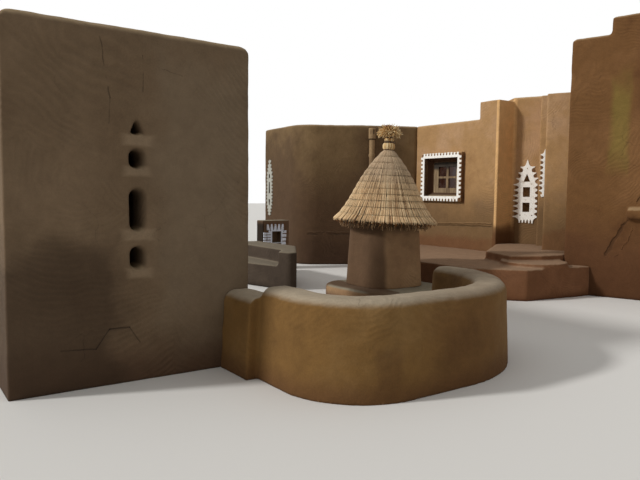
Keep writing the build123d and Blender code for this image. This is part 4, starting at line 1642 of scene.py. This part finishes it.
    def lamp_rays(self) -> list[Piece]:
        """Builds the pale rays round the lamp niche, with dark dots between their tips.

        Returns:
            The niche's rim, the rays and the dots.
        """
        left, right, low, high = 0.215, 0.45, 0.55, 0.80
        length = 0.12
        loops, dots = [], []
        for number in range(5):
            level = low - 0.02 + number * 0.056
            for near, far in ((0.012, 0.078), (left - length, left - 0.006)):
                end = near + (far - near) * self.draw.uniform(0.0, 0.08)
                loops.append(oblong(end, far, level - 0.017, level + 0.017))
            dots.append(ring((0.087, level + 0.028), 0.03, 0.03, 8))
        for number in range(4):
            level = low - 0.01 + number * 0.082
            tip = right + length * self.draw.uniform(0.85, 1.0)
            loops.append(oblong(right + 0.006, tip, level - 0.026, level + 0.026))
            dots.append(ring((right + length, level + 0.041), 0.042, 0.042, 8))
        for number in range(5):
            along = left - 0.09 + number * 0.086
            fan = (number - 2) * 0.006
            top = high + 0.03 + length * self.draw.uniform(0.9, 1.0)
            loops.append([
                (along - 0.03, high + 0.03), (along + 0.03, high + 0.03),
                (along + fan + 0.016, top), (along + fan - 0.016, top),
            ])
            dots.append(ring((along + 0.043, high + 0.13), 0.045, 0.075, 8))
        for side, edge in ((-1, left), (1, right)):
            strokes = ((0.0, 0.018), (0.018, 0.0), (0.05, 0.03), (0.03, 0.05))
            loops.append([(edge + side * (0.03 + out), high - 0.03 + up) for out, up in strokes])
        rim = [
            oblong(left - 0.022, right + 0.022, low - 0.004, high + 0.026),
            oblong(left, right, low, high),
        ]
        band = LAMP_FACE.raise_plate("lamp_niche_rim", rim, self.rise * 0.8)
        rays = self.pair("lamp_rays", LAMP_FACE, loops, dots, BLUE_RELIEF)
        return [settle(band, BLUE_RELIEF), *rays]

    def window_band(self) -> list[Piece]:
        """Builds the toothed white band round the window's opening.

        Returns:
            The ornament and the painted shade between its teeth.
        """
        left, right, low, high = 0.350, 1.330, 1.577, 2.411
        stripe, tooth, pitch = 0.046, 0.055, 0.093
        far_left, far_right, bottom, top = left - stripe, right + stripe, low - stripe, high + stripe
        corners = [(far_right, bottom), (far_right, top), (far_left, top), (far_left, bottom)]
        outline = []
        for start, end in zip(corners, corners[1:] + corners[:1]):
            outline += comb(start, end, pitch, tooth, self.draw, 0.3, 0.22)
        opening = oblong(left, right, low, high)
        outer = oblong(far_left - 0.034, far_right + 0.034, bottom - 0.034, top + 0.034)
        dark = [outer, oblong(left + 0.002, right - 0.002, low + 0.002, high - 0.002)]
        return self.pair("window_band", WINDOW_FACE, [outline, opening], dark, WHITE_RELIEF)

    def build(self) -> list[Piece]:
        """Builds and dresses all the ornament."""
        return (
            self.recess_stack()
            + self.pilaster_stripe()
            + self.wing_stack()
            + self.lamp_rays()
            + self.window_band()
        )


@dataclass
class Studio:
    """Pale floor, low light from the left, white surroundings and the camera.

    Attributes:
        eye: Where the camera stands, in metres.
        heading: Where it looks, in degrees right of straight ahead.
        pitch: How far it looks down, in degrees.
        roll: How far the picture is turned, in degrees.
        lens: Focal length on a 36 mm wide sensor.
        sun: Direction in which the soft key light shines.
        sun_strength: Its strength in watts per square metre.
        sun_spread: How wide it looks, in degrees, which softens its shadows.
        sky_strength: Strength of the light that comes from all round.
    """

    eye: tuple[float, float, float] = (-6.485, -7.484, 1.60)
    heading: float = 35.0
    pitch: float = 4.23
    roll: float = 0.63
    lens: float = 35.0
    sun: tuple[float, float, float] = (0.819, -0.282, -0.5)
    sun_strength: float = 2.1
    sun_spread: float = 6.0
    sky_strength: float = 0.45

    def place_camera(self) -> None:
        """Places the camera at the viewer's eye."""
        camera = bpy.data.objects.new("camera", bpy.data.cameras.new("camera"))
        bpy.context.scene.collection.objects.link(camera)
        look = Euler((math.radians(90 - self.pitch), 0, math.radians(-self.heading))).to_matrix()
        turned = look @ Matrix.Rotation(math.radians(self.roll), 3, "Z")
        camera.matrix_world = Matrix.Translation(self.eye) @ turned.to_4x4()
        camera.data.lens = self.lens
        camera.data.clip_end = 200
        bpy.context.scene.camera = camera

    def place_sun(self) -> None:
        """Places the soft key light."""
        light = bpy.data.lights.new("key_light", "SUN")
        light.energy = self.sun_strength
        light.angle = math.radians(self.sun_spread)
        lamp = bpy.data.objects.new("key_light", light)
        bpy.context.scene.collection.objects.link(lamp)
        lamp.rotation_mode = "QUATERNION"
        lamp.rotation_quaternion = Vector(self.sun).to_track_quat("-Z", "Y")

    def lay_floor(self) -> None:
        """Lays a pale plain floor under the house."""
        bpy.ops.object.select_all(action="DESELECT")
        bpy.ops.mesh.primitive_plane_add(size=160, location=(0, 0, -0.002))
        floor = bpy.context.view_layer.objects.active
        floor.name = "floor"
        material, shader = new_shader("pale_studio_floor", Roughness=0.9)
        shader.inputs["Base Color"].default_value = linear("#e4e1db")
        floor.data.materials.append(material)

    def light_surroundings(self) -> None:
        """Lights the scene evenly, and shows white behind it."""
        world = bpy.data.worlds.new("studio_surroundings")
        bpy.context.scene.world = world
        world.use_nodes = True
        tree = world.node_tree
        back = tree.nodes["Background"]
        seen = add(tree, "LightPath", {}, "Is Camera Ray")
        rays = seen.node.outputs
        for kind in ("Is Glossy Ray", "Is Transmission Ray"):
            seen = add(tree, "Math", {0: seen, 1: rays[kind]}, 0, operation="MAXIMUM")
        strength = add(tree, "MapRange", {0: seen, 3: self.sky_strength, 4: 1.0}, 0)
        tree.links.new(strength, back.inputs["Strength"])
        back.inputs["Color"].default_value = (1.0, 1.0, 1.0, 1.0)

    def build(self) -> None:
        """Sets up the floor, light and camera."""
        self.lay_floor()
        self.light_surroundings()
        self.place_sun()
        self.place_camera()
        bpy.context.scene.view_settings.view_transform = "Standard"


def main() -> None:
    """Builds every part of the house in order and reports each piece."""
    logging.basicConfig(level=logging.INFO, format="%(message)s")
    total = 0
    for assembly in (
        FrontRoom(),
        LowWall(),
        Granary(),
        Courtyard(),
        RearWing(),
        RightBlock(),
        WhiteOrnament(),
    ):
        for piece in assembly.build():
            triangles = sum(len(face.vertices) - 2 for face in piece.data.polygons)
            total += triangles
            LOG.info("%s: %d triangles", piece.name, triangles)
    LOG.info("all pieces: %d triangles", total)
    Studio().build()


if __name__ == "__main__":
    main()
